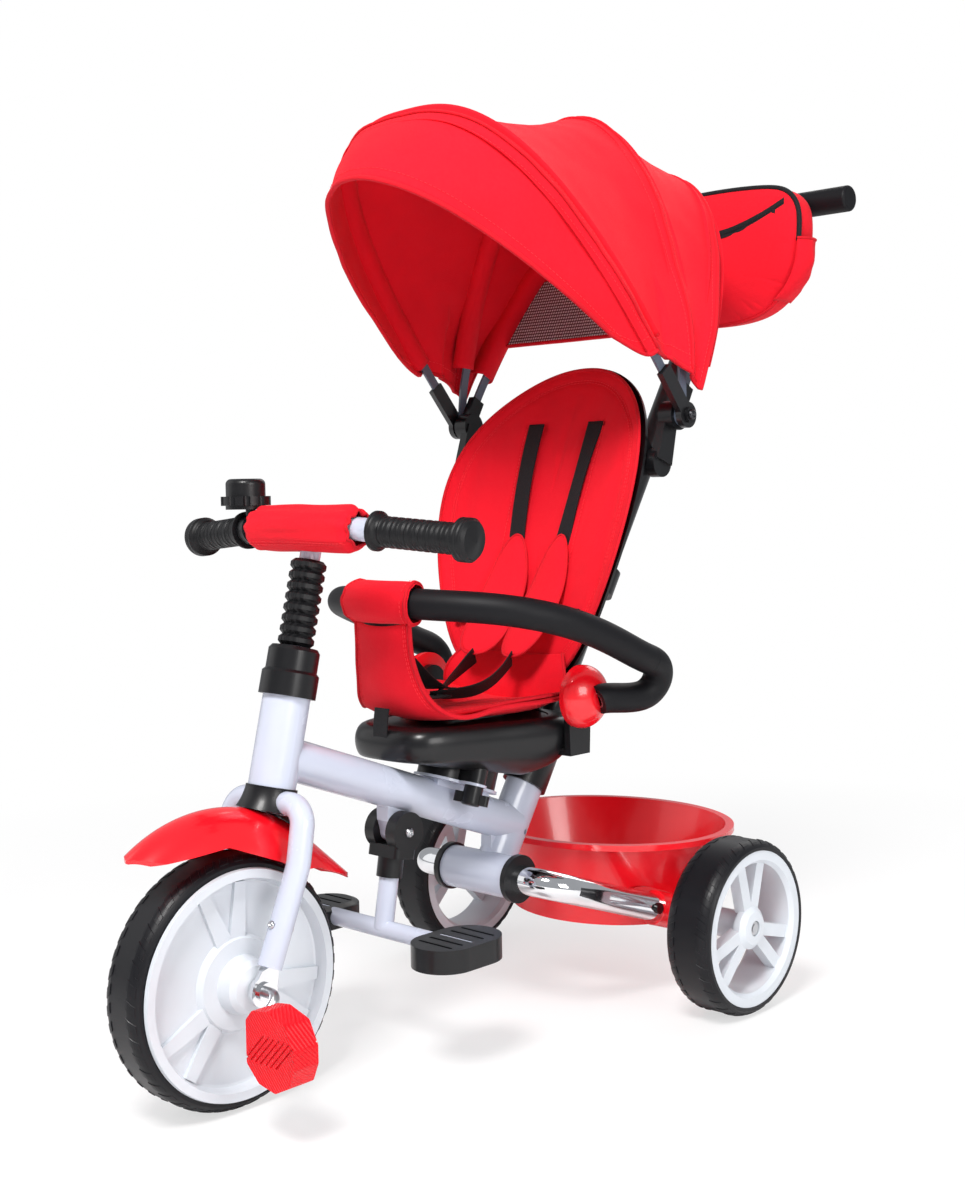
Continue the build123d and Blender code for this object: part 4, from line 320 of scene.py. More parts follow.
def cloth_sheet(name, points, finish_name, thickness):
    """A sheet from a grid of points (rows, columns, 3), given its thickness about that surface."""
    rows, columns = points.shape[:2]
    obj = make_object(name, points.reshape(-1, 3), grid_faces(rows, columns), finish_name)
    return bake(obj, ("SOLIDIFY", {"thickness": thickness, "offset": 0.0}))


def soft_cloth(name, points, finish_name, thickness):
    """A cloth sheet, rounded off once more."""
    obj = bake(cloth_sheet(name, points, finish_name, thickness), ("SUBSURF", {"levels": 1}))
    obj.data.shade_smooth()
    return obj


def unit(vectors):
    """Vectors along the last axis brought to length one."""
    return vectors / np.maximum(1e-9, np.linalg.norm(vectors, axis=-1, keepdims=True))


def run_of(points):
    """How far along a line each of its points lies."""
    return np.concatenate([[0], np.cumsum(np.linalg.norm(np.diff(points, axis=0), axis=1))])


def points_at(points, run, at):
    """Points of a line at given distances along it."""
    return np.stack([np.interp(at, run, points[:, k]) for k in range(points.shape[1])], axis=1)


def evenly(points, count):
    """The same line in evenly spaced points."""
    run = run_of(points)
    return points_at(points, run, np.linspace(0, run[-1], count))


def length_of(points):
    """Length of a line."""
    return float(run_of(np.array(points))[-1])


def sheet_area(grid):
    """Area of a grid of points."""
    crossed = np.cross(grid[1:, 1:] - grid[:-1, :-1], grid[1:, :-1] - grid[:-1, 1:])
    return float(0.5 * np.linalg.norm(crossed, axis=2).sum())


def smooth_line(points, count):
    """Evenly spaced points on a soft curve through the given ones."""
    points = np.array(points, float)
    for _ in range(3):
        middle = (points[:-1] + points[1:]) / 2
        fine = np.empty((2 * len(points) - 1, points.shape[1]))
        fine[0::2] = points
        fine[1::2] = middle
        soft = fine.copy()
        soft[1:-1] = 0.25 * fine[:-2] + 0.5 * fine[1:-1] + 0.25 * fine[2:]
        points = soft
    return evenly(points, count)


def tube(name, points, radius, finish_name, sides=8, closed=False):
    """A round tube along points."""
    points = np.array(points, float)
    count = len(points)
    if closed:
        along = np.roll(points, -1, axis=0) - np.roll(points, 1, axis=0)
    else:
        along = np.gradient(points, axis=0)
    along /= np.linalg.norm(along, axis=1)[:, None]
    side = np.cross(along[0], (0.13, 0.97, 0.21))
    verts = []
    for index in range(count):
        side = side - along[index] * side.dot(along[index])
        side /= np.linalg.norm(side)
        up = np.cross(along[index], side)
        for turn in range(sides):
            angle = 2 * pi * turn / sides
            verts.append(points[index] + radius * (cos(angle) * side + sin(angle) * up))
    faces = grid_faces(count, sides, wrap=True)
    if closed:
        last = (count - 1) * sides
        faces += [(last + k, last + (k + 1) % sides, (k + 1) % sides, k) for k in range(sides)]
    else:
        faces += [tuple(range(sides - 1, -1, -1)), tuple(range((count - 1) * sides, count * sides))]
    return make_object(name, verts, faces, finish_name)


def strap(name, points, across, width, thickness, finish_name):
    """Flat webbing along points, with its width along one direction or one for each point."""
    points = np.array(points, float)
    across = unit(np.broadcast_to(np.array(across, float), points.shape))
    shares = (-0.5, -0.47, -0.25, 0.0, 0.25, 0.47, 0.5)
    grid = np.stack([points + across * width * share for share in shares], axis=1)
    return cloth_sheet(name, grid, finish_name, thickness)


def edging(name, points, thick=1.0, closed=False):
    """Red piping or binding along points, thick as a share of plain piping."""
    radius = bpy.context.scene.tricycle_sizes.piping * thick
    return tube(name, points, radius, "red_binding", closed=closed)


def stitches(name, rows, pitch=0.0050, finish_name="red_thread", radius=0.00035):
    """Rows of stitches, each row a line of points on the surface."""
    length = bpy.context.scene.tricycle_sizes.stitch
    verts, faces = [], []
    for row in rows:
        row = np.array(row, float)
        run = run_of(row)
        at = pitch / 2
        while at + length < run[-1]:
            ends = points_at(row, run, [at, at + length])
            along = ends[1] - ends[0]
            along /= max(1e-9, np.linalg.norm(along))
            side = np.cross(along, (0.3, 0.5, 0.8))
            side /= np.linalg.norm(side)
            up = np.cross(along, side)
            first = len(verts)
            for end in ends:
                for a, b in ((1, 0), (0, 1), (-1, 0), (0, -1)):
                    verts.append(end + radius * (a * side + b * up))
            for k in range(4):
                faces.append((first + k, first + (k + 1) % 4, first + 4 + (k + 1) % 4, first + 4 + k))
            faces += [(first + 3, first + 2, first + 1, first), tuple(first + 4 + k for k in range(4))]
            at += pitch
    return make_object(name, verts, faces, finish_name, smooth=False)


def turned(name, profile, centre, axis, finish_name, sides=32):
    """A body turned about an axis from (radius, distance) pairs."""
    axis = Vector(axis).normalized()
    side = axis.orthogonal().normalized()
    up = axis.cross(side)
    verts = []
    for radius, along in profile:
        for turn in range(sides):
            angle = 2 * pi * turn / sides
            out = side * cos(angle) + up * sin(angle)
            verts.append(Vector(centre) + axis * along + out * max(radius, 1e-5))
    faces = grid_faces(len(profile), sides, wrap=True)
    last = (len(profile) - 1) * sides
    faces += [tuple(range(sides - 1, -1, -1)), tuple(range(last, last + sides))]
    return make_object(name, verts, faces, finish_name)


def screw(name, body, centre, axis, radius, finish_name="steel"):
    """A domed screw head with a round recess."""
    shares = ((1.0, 0), (1.0, 0.25), (0.86, 0.6), (0.55, 0.78), (0.45, 0.78), (0.42, 0.3))
    profile = [(across * radius, along * radius) for across, along in shares]
    head = turned(name, profile, centre, axis, finish_name, 30)
    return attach(head, body)


# ---------------------------------------------------------------- the canopy's arches
# each arch is its lean in degrees, its reach from the pivot, its half width and the power of its curve
PIVOT = np.array([0.0, 0.141, 0.699])
FRONT_LEAN, MIDDLE_LEAN, REAR_LEAN = 40.0, -4.0, -29.0
FRONT_SEAM = (FRONT_LEAN, 0.4267, 0.1902, 2.85)
MIDDLE_SEAM = (MIDDLE_LEAN, 0.3712, 0.1892, 1.85)
REAR_SEAM = (REAR_LEAN, 0.3602, 0.1862, 2.2)
VISOR_HEM = (54.0, 0.4262, 0.1812, 1.95)
FRONT_BOW = (FRONT_LEAN, 0.4240, 0.1830, 2.85)
MIDDLE_BOW = (MIDDLE_LEAN, 0.3660, 0.1790, 1.85)
REAR_BOW = (REAR_LEAN, 0.3560, 0.1700, 2.1)
SOCKET_REACH = 0.0675


def arch(shape, foot, count=72, offset=0.0, grow=0.0):
    """Points over an arch, from a foot's height over the pivot on the left to the same on the right."""
    lean, reach, half, power = shape
    reach, half = reach + grow, half + grow
    start = asin(min(0.98, (foot / reach) ** (power / 2)))
    turns = np.linspace(start, pi - start, count)
    across = np.sign(np.cos(turns)) * np.abs(np.cos(turns)) ** (2 / power) * half
    rise = np.sin(turns) ** (2 / power) * reach
    lean = radians(lean)
    up = np.array([0, -sin(lean), cos(lean)])
    out = np.array([0, -cos(lean), -sin(lean)])
    line = PIVOT + across[:, None] * np.array([1.0, 0, 0]) + rise[:, None] * up + offset * out
    return evenly(line, count)


def ruffle(points, depth, scale, seed):
    """Soft folds in a grid of points, pushed along their rough normal."""
    normal = unit(np.cross(np.gradient(points, axis=0), np.gradient(points, axis=1)))
    push = np.array([[noise.noise(Vector(p) * scale + Vector((seed, 0, 0))) for p in row] for row in points])
    return points + normal * (depth * push)[..., None]


# ---------------------------------------------------------------- padded pieces
def pad_shape(name, outline, place, rings=14, around=96, crown=0.3):
    """A crowned pad: outline is its flat edge, place(u, v, share) puts a flat point at a share of its depth."""
    edge = smooth_loop(outline, around)
    middle = edge.mean(axis=0)
    verts, faces = [], []
    for side in (0, 1):
        for ring in range(rings):
            inset = (ring / (rings - 1)) ** 1.35
            flat = edge + (middle - edge) * inset * 0.985
            swell = min(1.0, (1 - (1 - inset) ** 5) + 0.02)
            share = 0.5 + (0.5 * swell if side else -0.5 * swell)
            if side:
                share += crown * swell * inset
            verts += [place(u, v, share) for u, v in flat]
    for side in (0, 1):
        base = side * rings * around
        for ring in range(rings - 1):
            for k in range(around):
                a, b = base + ring * around + k, base + ring * around + (k + 1) % around
                quad = (a, b, b + around, a + around)
                faces.append(quad if side else quad[::-1])
        last = base + (rings - 1) * around
        cap = tuple(last + k for k in range(around))
        faces.append(cap if side else cap[::-1])
    for k in range(around):
        a, b = k, (k + 1) % around
        faces.append((a, b, b + rings * around, a + rings * around))
    pad = make_object(name, verts, faces, "red_cloth")
    sewn_down(pad, [side * rings * around + k for side in (0, 1) for k in range(2 * around)])
    return pad


def sewn_down(obj, points):
    """Marks the points held by the edge seam."""
    obj.vertex_groups.new(name="seam").add(points, 1.0, "REPLACE")


def smooth_loop(points, count):
    """A soft closed line through a half outline given from its foot to its top, mirrored across x = 0."""
    half = np.array(points, float)
    whole = np.vstack([half, (half * np.array([-1, 1]))[::-1][1:-1]])
    for _ in range(4):
        fine = np.empty((2 * len(whole), 2))
        fine[0::2] = whole
        fine[1::2] = (whole + np.roll(whole, -1, axis=0)) / 2
        whole = 0.25 * np.roll(fine, 1, axis=0) + 0.5 * fine + 0.25 * np.roll(fine, -1, axis=0)
    # the soft line cuts the corners, so it is drawn back out to the outline's size
    lo, hi = half.min(axis=0), half.max(axis=0)
    whole[:, 0] *= hi[0] / np.abs(whole[:, 0]).max()
    low, high = whole[:, 1].min(), whole[:, 1].max()
    whole[:, 1] = lo[1] + (whole[:, 1] - low) * (hi[1] - lo[1]) / (high - low)
    loop = np.vstack([whole, whole[:1]])
    run = run_of(loop)
    return points_at(loop, run, np.linspace(0, run[-1], count, endpoint=False))


PUFF_STEPS = 20


def puff_up(obj, pressure, cap):
    """Lets cloth swell under pressure, no point by more than cap, and applies the result."""
    scene = bpy.context.scene
    bake(obj, ("SUBSURF", {"levels": 1}))
    start = np.empty(len(obj.data.vertices) * 3)
    obj.data.vertices.foreach_get("co", start)
    cloth = obj.modifiers.new("Cloth", "CLOTH")
    cloth.settings.vertex_group_mass = "seam"
    cloth.settings.use_pressure = True
    cloth.settings.uniform_pressure_force = pressure
    cloth.settings.tension_stiffness = 12
    cloth.settings.compression_stiffness = 12
    cloth.settings.effector_weights.gravity = 0
    cloth.point_cache.frame_start, cloth.point_cache.frame_end = 1, PUFF_STEPS
    for step in range(1, PUFF_STEPS + 1):
        scene.frame_set(step)
    evaluated = obj.evaluated_get(bpy.context.evaluated_depsgraph_get())
    moved = np.empty_like(start)
    evaluated.data.vertices.foreach_get("co", moved)
    obj.modifiers.remove(cloth)
    scene.frame_set(1)
    shift = (moved - start).reshape(-1, 3)
    length = np.linalg.norm(shift, axis=1)
    shift *= np.minimum(1.0, cap / np.maximum(length, 1e-9))[:, None]
    obj.data.vertices.foreach_set("co", start + shift.ravel())
    obj.data.update()
    obj.data.shade_smooth()
    return obj


def lie_on(obj, points, direction, proud=0.0):
    """Moves points along a direction until they lie on the object's surface."""
    tree = BVHTree.FromObject(obj, bpy.context.evaluated_depsgraph_get())
    direction = Vector(direction).normalized()
    landed = []
    for point in points:
        hit = tree.ray_cast(Vector(point) - direction * 0.2, direction)[0]
        if hit is None:
            hit = tree.find_nearest(Vector(point))[0]
        landed.append(np.array(hit - direction * proud))
    return np.array(landed)


def press_seam(obj, line, depth, reach=0.0055):
    """Draws the surface in along a line, as a row of stitches does, fading out at a reach from it."""
    tree = KDTree(len(line))
    for index, point in enumerate(line):
        tree.insert(Vector(point), index)
    tree.balance()
    mesh = obj.data
    normals = [v.normal.copy() for v in mesh.vertices]
    for vertex, normal in zip(mesh.vertices, normals):
        away = tree.find(vertex.co)[2]
        if away < reach:
            vertex.co -= normal * depth * (0.5 + 0.5 * cos(pi * away / reach))
    mesh.update()
    return obj


# ---------------------------------------------------------------- canopy
REAR_FOOT, MIDDLE_FOOT, FRONT_FOOT = 0.034, 0.048, 0.093
REAR_CASING_FOOT, MIDDLE_CASING_FOOT, FRONT_CASING_FOOT = 0.074, 0.076, 0.101
MIDDLE_ROW, FRONT_ROW, HEM_ROW = 22, 56, 72
CANOPY_PITCH = 0.0052
CURTAIN_FOOT, CURTAIN_HEM, CURTAIN_SPLIT = 0.118, 0.806, 0.872
STITCH_PROUD = 0.0003


def canopy_grid():
    """The canopy's cloth in rows of points, from the rear bow to the visor's hem."""
    count = 84
    rows = []
    rear = arch(REAR_SEAM, REAR_FOOT, count)
    middle = arch(MIDDLE_SEAM, MIDDLE_FOOT, count)
    front = arch(FRONT_SEAM, FRONT_FOOT, count)
    # between two bows the cloth hangs in a little
    for low, high, steps, pull in ((rear, middle, MIDDLE_ROW, 0.006),
                                   (middle, front, FRONT_ROW - MIDDLE_ROW, 0.010)):
        for step in range(steps):
            share = step / steps
            row = low + (high - low) * share
            inward = unit(PIVOT + np.array([0, 0, 0.12]) - row)
            rows.append(row + inward * pull * 4 * share * (1 - share))
    for share in np.linspace(0, 1, HEM_ROW - FRONT_ROW + 1):
        shape = [a + (b - a) * share for a, b in zip(FRONT_SEAM, VISOR_HEM)]
        rows.append(arch(shape, FRONT_FOOT + 0.052 * share ** 4, count))
    grid = ruffle(np.array(rows), depth=0.0030, scale=11.0, seed=3)
    grid = ruffle(grid, depth=0.0012, scale=34.0, seed=9)
    # behind a line, and the more the nearer it is to the pivot, the cloth stands off to pass the bows' sockets
    stand_off, fades_at, fades_over, behind = 0.0066, 0.170, 0.060, 0.110
    away = np.linalg.norm((grid - PIVOT)[..., 1:], axis=2)
    near = np.clip((fades_at - away) / fades_over, 0, 1) * (grid[..., 1] > behind)
    grid[..., 0] += np.sign(grid[..., 0]) * stand_off * near
    return grid


class TRICYCLE_OT_canopy(bpy.types.Operator):
    """Sew the canopy, its rear curtain and the bindings and stitches on them"""
    bl_idname = "tricycle.canopy"
    bl_label = "Canopy"

    def execute(self, context):
        sizes = context.scene.tricycle_sizes
        grid = canopy_grid()
        out = unit(np.cross(np.gradient(grid, axis=1), np.gradient(grid, axis=0)))
        out *= np.sign(np.sum(out * (grid - (PIVOT + np.array([0, 0, 0.1]))), axis=2))[..., None]
        rear_grid, front_grid = grid[:MIDDLE_ROW + 1], grid[MIDDLE_ROW:]
        rear = self.part("rear", rear_grid, out[:MIDDLE_ROW + 1], (2, 20), sizes)
        front = self.part("front", front_grid, out[MIDDLE_ROW:], (2, 32, 36, 48), sizes)
        # the piping over the middle bow hides the seam between the two cloths
        seam = edging("canopy_piping_middle", grid[MIDDLE_ROW] + out[MIDDLE_ROW] * 0.0010)
        casing = self.casing("middle", MIDDLE_BOW, MIDDLE_SEAM, MIDDLE_CASING_FOOT)
        for piece in (seam, casing):
            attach(piece, "canopy_middle")
        for piece in rear:
            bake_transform(piece)
        for piece in front:
            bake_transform(piece)
        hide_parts("canopy_panel_rear")
        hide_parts("canopy_panel_front", "canopy_visor")
        sheet_area(rear_grid)
        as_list(rear[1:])
        sheet_area(front_grid)
        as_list(front[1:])
        self.curtain(sizes)
        return {"FINISHED"}

    def part(self, label, grid, out, sewn_rows, sizes):
        """One cloth of the canopy with its binding, stitches and piping."""
        cloth = soft_cloth(f"canopy_{label}_cloth", grid, "red_cloth", sizes.cloth)
        if label == "rear":
            rim = np.vstack([grid[::-1, 0], grid[0, 1:], grid[1:, -1]])
        else:
            rim = np.vstack([grid[:, 0], grid[-1, 1:], grid[::-1, -1][1:]])
        pieces = [cloth, edging(f"canopy_{label}_binding", rim, 1.4)]
        skin = grid + out * (sizes.cloth / 2 + STITCH_PROUD)
        lining = grid - out * (sizes.cloth / 2 + STITCH_PROUD)
        sewn = []
        for row in sewn_rows:
            sewn += [skin[row], lining[row]]
        for column in (2, -3):
            sewn += [skin[:, column], lining[:, column]]
        pieces.append(stitches(f"canopy_{label}_stitches", sewn, CANOPY_PITCH))
        if label == "rear":
            pieces.append(self.casing("rear", REAR_BOW, REAR_SEAM, REAR_CASING_FOOT))
        else:
            row = FRONT_ROW - MIDDLE_ROW
            pieces.append(edging("canopy_front_piping", grid[row] + out[row] * 0.0012, 0.95))
            pieces.append(self.casing("front", FRONT_BOW, FRONT_SEAM, FRONT_CASING_FOOT))
        return pieces

    def casing(self, label, bow, seam, foot):
        """The sleeve that a bow runs in, sewn to the inside of the cloth on both sides of it."""
        outer, inner = 0.0155, 0.0098
        half_way = 0.5 * (outer + inner)
        # each line of the sleeve follows an arch, set to one side of it and grown or shrunk
        section = [(seam, outer, -0.0012), (bow, half_way, 0.0012), (bow, inner, -0.0040), (bow, 0.0, -0.0048),
                   (bow, -inner, -0.0040), (bow, -half_way, 0.0012), (seam, -outer, -0.0012)]
        lines = [arch(shape, foot, 110, offset=offset, grow=grow) for shape, offset, grow in section]
        return cloth_sheet(f"canopy_casing_{label}", np.stack(lines, axis=1), "red_cloth", 0.0011)

    def curtain(self, sizes):
        """The sheet closing the back, red above and net below."""
        top = arch(REAR_SEAM, CURTAIN_FOOT, 61, offset=-0.0078, grow=-0.0025)
        split = CURTAIN_SPLIT + 0.030 * (1 - np.linspace(-1, 1, len(top)) ** 2)
        upper = self.hanging(top, np.maximum(top[:, 2] - split, 0.002), 26, narrower=0.02)
        upper = ruffle(upper, depth=0.0022, scale=22.0, seed=5)
        curtain = cloth_sheet("curtain_cloth", upper, "red_cloth", sizes.cloth)
        lower = self.hanging(upper[-1], np.maximum(upper[-1][:, 2] - CURTAIN_HEM, 0.0), 16)
        net = cloth_sheet("curtain_net", lower, "window_net", 0.0006)
        trims = [edging("curtain_net_binding", upper[-1], 1.1), edging("curtain_hem", lower[-1], 1.2)]
        for piece in [curtain, net] + trims:
            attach(piece, "canopy_links")
        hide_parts("canopy_curtain")

    def hanging(self, top, drop, rows, narrower=0.0):
        """Rows of points from a top line down by a drop at each point, in the plane of the rear bow."""
        grid = []
        for share in np.linspace(0, 1, rows):
            row = top.copy()
            row[:, 2] -= drop * share
            row[:, 1] -= drop * share * tan(radians(-REAR_LEAN))
            row[:, 0] *= 1 - narrower * share
            grid.append(row)
        return np.array(grid)


# ---------------------------------------------------------------- seat
# the backrest runs from its foot along BACK_UP, faces BACK_OUT and is hollow across by BACK_RADIUS
BACK_FOOT = np.array([0, 0.048, 0.385])
BACK_UP = np.array([0, 0.3492, 0.9370])
BACK_OUT = np.array([0, -0.9370, 0.3492])
BACK_RADIUS = 0.289
BACK_SKIN = 0.0004     # between the shell and the back of the cushion
SEAT_HALF = 0.109
SEAT_DISH = 0.020
SEAM_TURNS = 220
BACK_EDGE = [(0, 0.002), (0.064, 0.004), (0.097, 0.034), (0.129, 0.115), (0.150, 0.225), (0.126, 0.322),
             (0.060, 0.388), (0, 0.402)]
SEAT_EDGE = [(0, -0.120), (0.067, -0.116), (0.099, -0.069), (0.107, -0.010), (0.091, 0.035), (0, 0.042)]
SEAT_LEVEL = 0.3580
SADDLE_EDGE = [(0, -0.1795), (0.046, -0.1760), (0.062, -0.150), (0.0775, -0.088), (0.0990, -0.030),
               (0.1085, 0.012), (0.0760, 0.0470), (0, 0.0515)]
SADDLE_MIDDLE = np.array([0.0, -0.061])
# from the top of the saddle out over the rim and in below it: share of the outline, stand-off and height
SADDLE_RINGS = ((0.80, 0.0, 0.3574), (0.90, 0.0, 0.3575), (0.955, 0.0, 0.3560), (1.0, -0.0008, 0.3510),
                (1.0, 0.0018, 0.3440), (1.0, 0.0022, 0.3360), (1.0, 0.0008, 0.3280), (0.99, -0.001, 0.3212),
                (0.95, 0.0, 0.3160), (0.86, 0.0, 0.3095), (0.72, 0.0, 0.3030), (0.56, 0.0, 0.2970))
# the apron's middle line from the guard down to the saddle and back under the cushion: y, z and half width
APRON_PATH = [(-0.1815, 0.4700, 0.042), (-0.1800, 0.4400, 0.0425), (-0.1755, 0.4100, 0.046),
              (-0.1660, 0.3830, 0.056), (-0.1500, 0.3665, 0.069), (-0.1280, 0.3612, 0.083),
              (-0.1000, 0.3600, 0.0955), (-0.0650, 0.3600, 0.1045), (-0.0250, 0.3600, 0.1085),
              (0.0120, 0.3600, 0.1070)]


def on_back(x, v, depth):
    """A point on the curved backrest; depth is measured from the shell towards the child."""
    radius = BACK_RADIUS - BACK_SKIN - depth
    away = BACK_RADIUS - sqrt(max(1e-6, radius ** 2 - x ** 2))
    return BACK_FOOT + BACK_UP * v + BACK_OUT * away + np.array([x, 0, 0])


def on_seat(x, y, height):
    """A point on the dished seat pad at a height over its underside."""
    rise = SEAT_DISH * (x / SEAT_HALF) ** 2
    return np.array([x, y, SEAT_LEVEL + height + rise * min(1.0, height / 0.006 + 0.15)])


class TRICYCLE_OT_seat(bpy.types.Operator):
    """Skin the saddle, pad the backrest and the seat, and sew the apron up to the guard"""
    bl_idname = "tricycle.seat"
    bl_label = "Seat"

    def execute(self, context):
        self.saddle_cover()
        self.backrest()
        self.seat()
        self.apron()
        return {"FINISHED"}

    def saddle_cover(self):
        """Vinyl skin drawn over the saddle, rounded at its rim and running in below it."""
        edge = smooth_loop(SADDLE_EDGE, 160)
        outward = unit(edge - SADDLE_MIDDLE)
        under, lowest = 0.3212, SADDLE_RINGS[-1][2]
        rings = []
        for share, proud, height in SADDLE_RINGS:
            flat = SADDLE_MIDDLE + (edge - SADDLE_MIDDLE) * share + outward * proud
            # the underside follows the tube's slope
            depth = max(0.0, (under - height) / (under - lowest))
            rings.append(np.column_stack([flat, height - 0.20 * (flat[:, 1] - SADDLE_MIDDLE[1]) * depth]))
        faces = grid_faces(len(rings), len(edge), wrap=True)
        verts = np.array(rings).reshape(-1, 3)
        skin = make_object("saddle_skin", verts, faces, "saddle_vinyl")
        bake(skin, ("SOLIDIFY", {"thickness": 0.0012, "offset": 0.0}), ("SUBSURF", {"levels": 1}))
        skin.data.shade_smooth()
        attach(skin, "frame")

    def backrest(self):
        """The backrest cushion: a double seam inside its edge, two channels and the slots of the straps."""
        pad = pad_shape("backrest_cushion", BACK_EDGE,
                        lambda x, v, share: on_back(x, v, 0.0008 + 0.0110 * share), crown=0.12)
        puff_up(pad, pressure=3.0, cap=0.0032)
        clear = 0.03    # the lines start this far in front of the shell and are then laid on the cushion

        def seam_line(across, along):
            middle = 0.202
            smaller = [(x * across, middle + (v - middle) * along) for x, v in BACK_EDGE]
            flat = smooth_loop(smaller, SEAM_TURNS)
            return [on_back(x, v, clear) for x, v in flat]

        seam = lie_on(pad, seam_line(0.905, 0.925), -BACK_OUT)
        press_seam(pad, seam, depth=0.0022)
        channels = []
        for side in (-1, 1):
            line = [on_back(side * (0.062 - 0.012 * abs(v - 0.3) / 0.3), v, clear)
                    for v in np.linspace(0.06, 0.33, 60)]
            channels.append(lie_on(pad, line, -BACK_OUT))
            press_seam(pad, channels[-1], depth=0.0014)
        for side in (-1, 1):
            slot_line = [on_back(side * 0.044 + u, 0.322, clear) for u in np.linspace(-0.016, 0.016, 12)]
            press_seam(pad, lie_on(pad, slot_line, -BACK_OUT), depth=0.0030)
        seam = lie_on(pad, seam, -BACK_OUT, 0.0002)
        inner = lie_on(pad, seam_line(0.885, 0.91), -BACK_OUT, 0.0002)
        rows = [np.vstack([seam, seam[:1]]), np.vstack([inner, inner[:1]])] + channels
        thread = stitches("backrest_stitches", rows)
        rim = [on_back(x, v, 0.0062) for x, v in smooth_loop(BACK_EDGE, 240)]
        piping = edging("backrest_piping", rim, 1.15, closed=True)
        for piece in (pad, thread, piping):
            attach(piece, "frame")
        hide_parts("backrest_pad")

    def seat(self):
        """The seat cushion with its seams and piping, and the flap that joins it to the backrest."""
        pad = pad_shape("seat_cushion", SEAT_EDGE, lambda x, y, share: on_seat(x, y, 0.0010 + 0.0125 * share),
                        crown=0.10)
        puff_up(pad, pressure=3.0, cap=0.0028)
        flat = smooth_loop([(x * 0.86, -0.039 + (y + 0.039) * 0.86) for x, y in SEAT_EDGE], 180)
        seam = lie_on(pad, [on_seat(x, y, 0.05) for x, y in flat], (0, 0, -1))
        press_seam(pad, seam, depth=0.0020)
        rows = [np.vstack([seam, seam[:1]])]
        for y in (-0.078, -0.036):
            line = lie_on(pad, [(x, y + 0.010 * (x / 0.08) ** 2, 0.42) for x in np.linspace(-0.078, 0.078, 60)],
                          (0, 0, -1))
            press_seam(pad, line, depth=0.0016)
            rows.append(line)
        thread = stitches("seat_stitches", rows)
        self.flap()
        rim = [on_seat(x, y, 0.0075) for x, y in smooth_loop(SEAT_EDGE, 200)]
        piping = edging("seat_piping", rim, 1.1, closed=True)
        for piece in (pad, thread, piping):
            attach(piece, "frame")
        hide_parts("seat_pad")

    def flap(self):
        """Cloth from the back of the seat cushion up to the foot of the backrest's."""
        flap_rows = []
        for share in np.linspace(0, 1, 16):
            half = 0.101 - 0.022 * share
            row = []
            for across in np.linspace(-1, 1, 45):
                foot = on_seat(across * 0.101, 0.026, 0.004)
                head = on_back(across * half, 0.034, 0.0125)
                bow = np.array([0, -0.007 * sin(pi * share), 0])
                row.append(foot + (head - foot) * share + bow)
            flap_rows.append(row)
        flap_grid = ruffle(np.array(flap_rows), depth=0.0014, scale=40.0, seed=21)
        flap = soft_cloth("seat_flap", flap_grid, "red_cloth", 0.0018)
        flap_edges = [edging(f"seat_flap_edge_{label}", flap_grid[:, column])
                      for label, column in (("right", 0), ("left", -1))]
        for piece in [flap] + flap_edges:
            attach(piece, "frame")
        1.15 * length_of(flap_grid[:, 0])

    def apron(self):
        """Cloth from the guard's sleeve down to the front of the seat."""
        rows = []
        for y, z, half in smooth_line(APRON_PATH, 58):
            row = []
            level = max(0.0, min(1.0, (y + 0.150) / 0.050))
            for share in np.linspace(-1, 1, 41):
                curl = 0.010 * share ** 2 * (1 - level)
                dish = level * SEAT_DISH * (half * share / SEAT_HALF) ** 2
                row.append((half * share, y + curl * 0.8, z + curl * 0.5 + dish))
            rows.append(row)
        grid = ruffle(np.array(rows), depth=0.0016, scale=30.0, seed=12)
        cloth = soft_cloth("apron_cloth", grid, "red_cloth", 0.0022)
        trims = [edging(f"apron_binding_{side}", grid[:, column], 1.5)
                 for side, column in (("right", 0), ("left", -1))]
        front = np.array([0, -0.0014, 0.0])
        trims.append(stitches("apron_stitches", [grid[:, column] + front for column in (2, 3, -3, -4)]))
        tail = [(0, -0.1760, 0.3790), (0, -0.1790, 0.3620), (0, -0.1800, 0.3440), (0, -0.1790, 0.3300)]
        webbing = strap("apron_webbing", smooth_line(tail, 14), (1, 0, 0), 0.022, WEBBING_THICK, "webbing")
        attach(webbing, "frame")
        for piece in [cloth] + trims:
            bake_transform(piece)
        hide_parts("seat_apron")


WEBBING_THICK = 0.0016
STRAP_DEPTH = 0.0150     # how far in front of the shell the straps lie
COVER_LENGTH = 0.162
COVER_EDGE = [(0, 0.0), (0.018, 0.004), (0.029, 0.024), (0.031, 0.060), (0.028, 0.100), (0.019, 0.138),
              (0.008, 0.158), (0, COVER_LENGTH)]


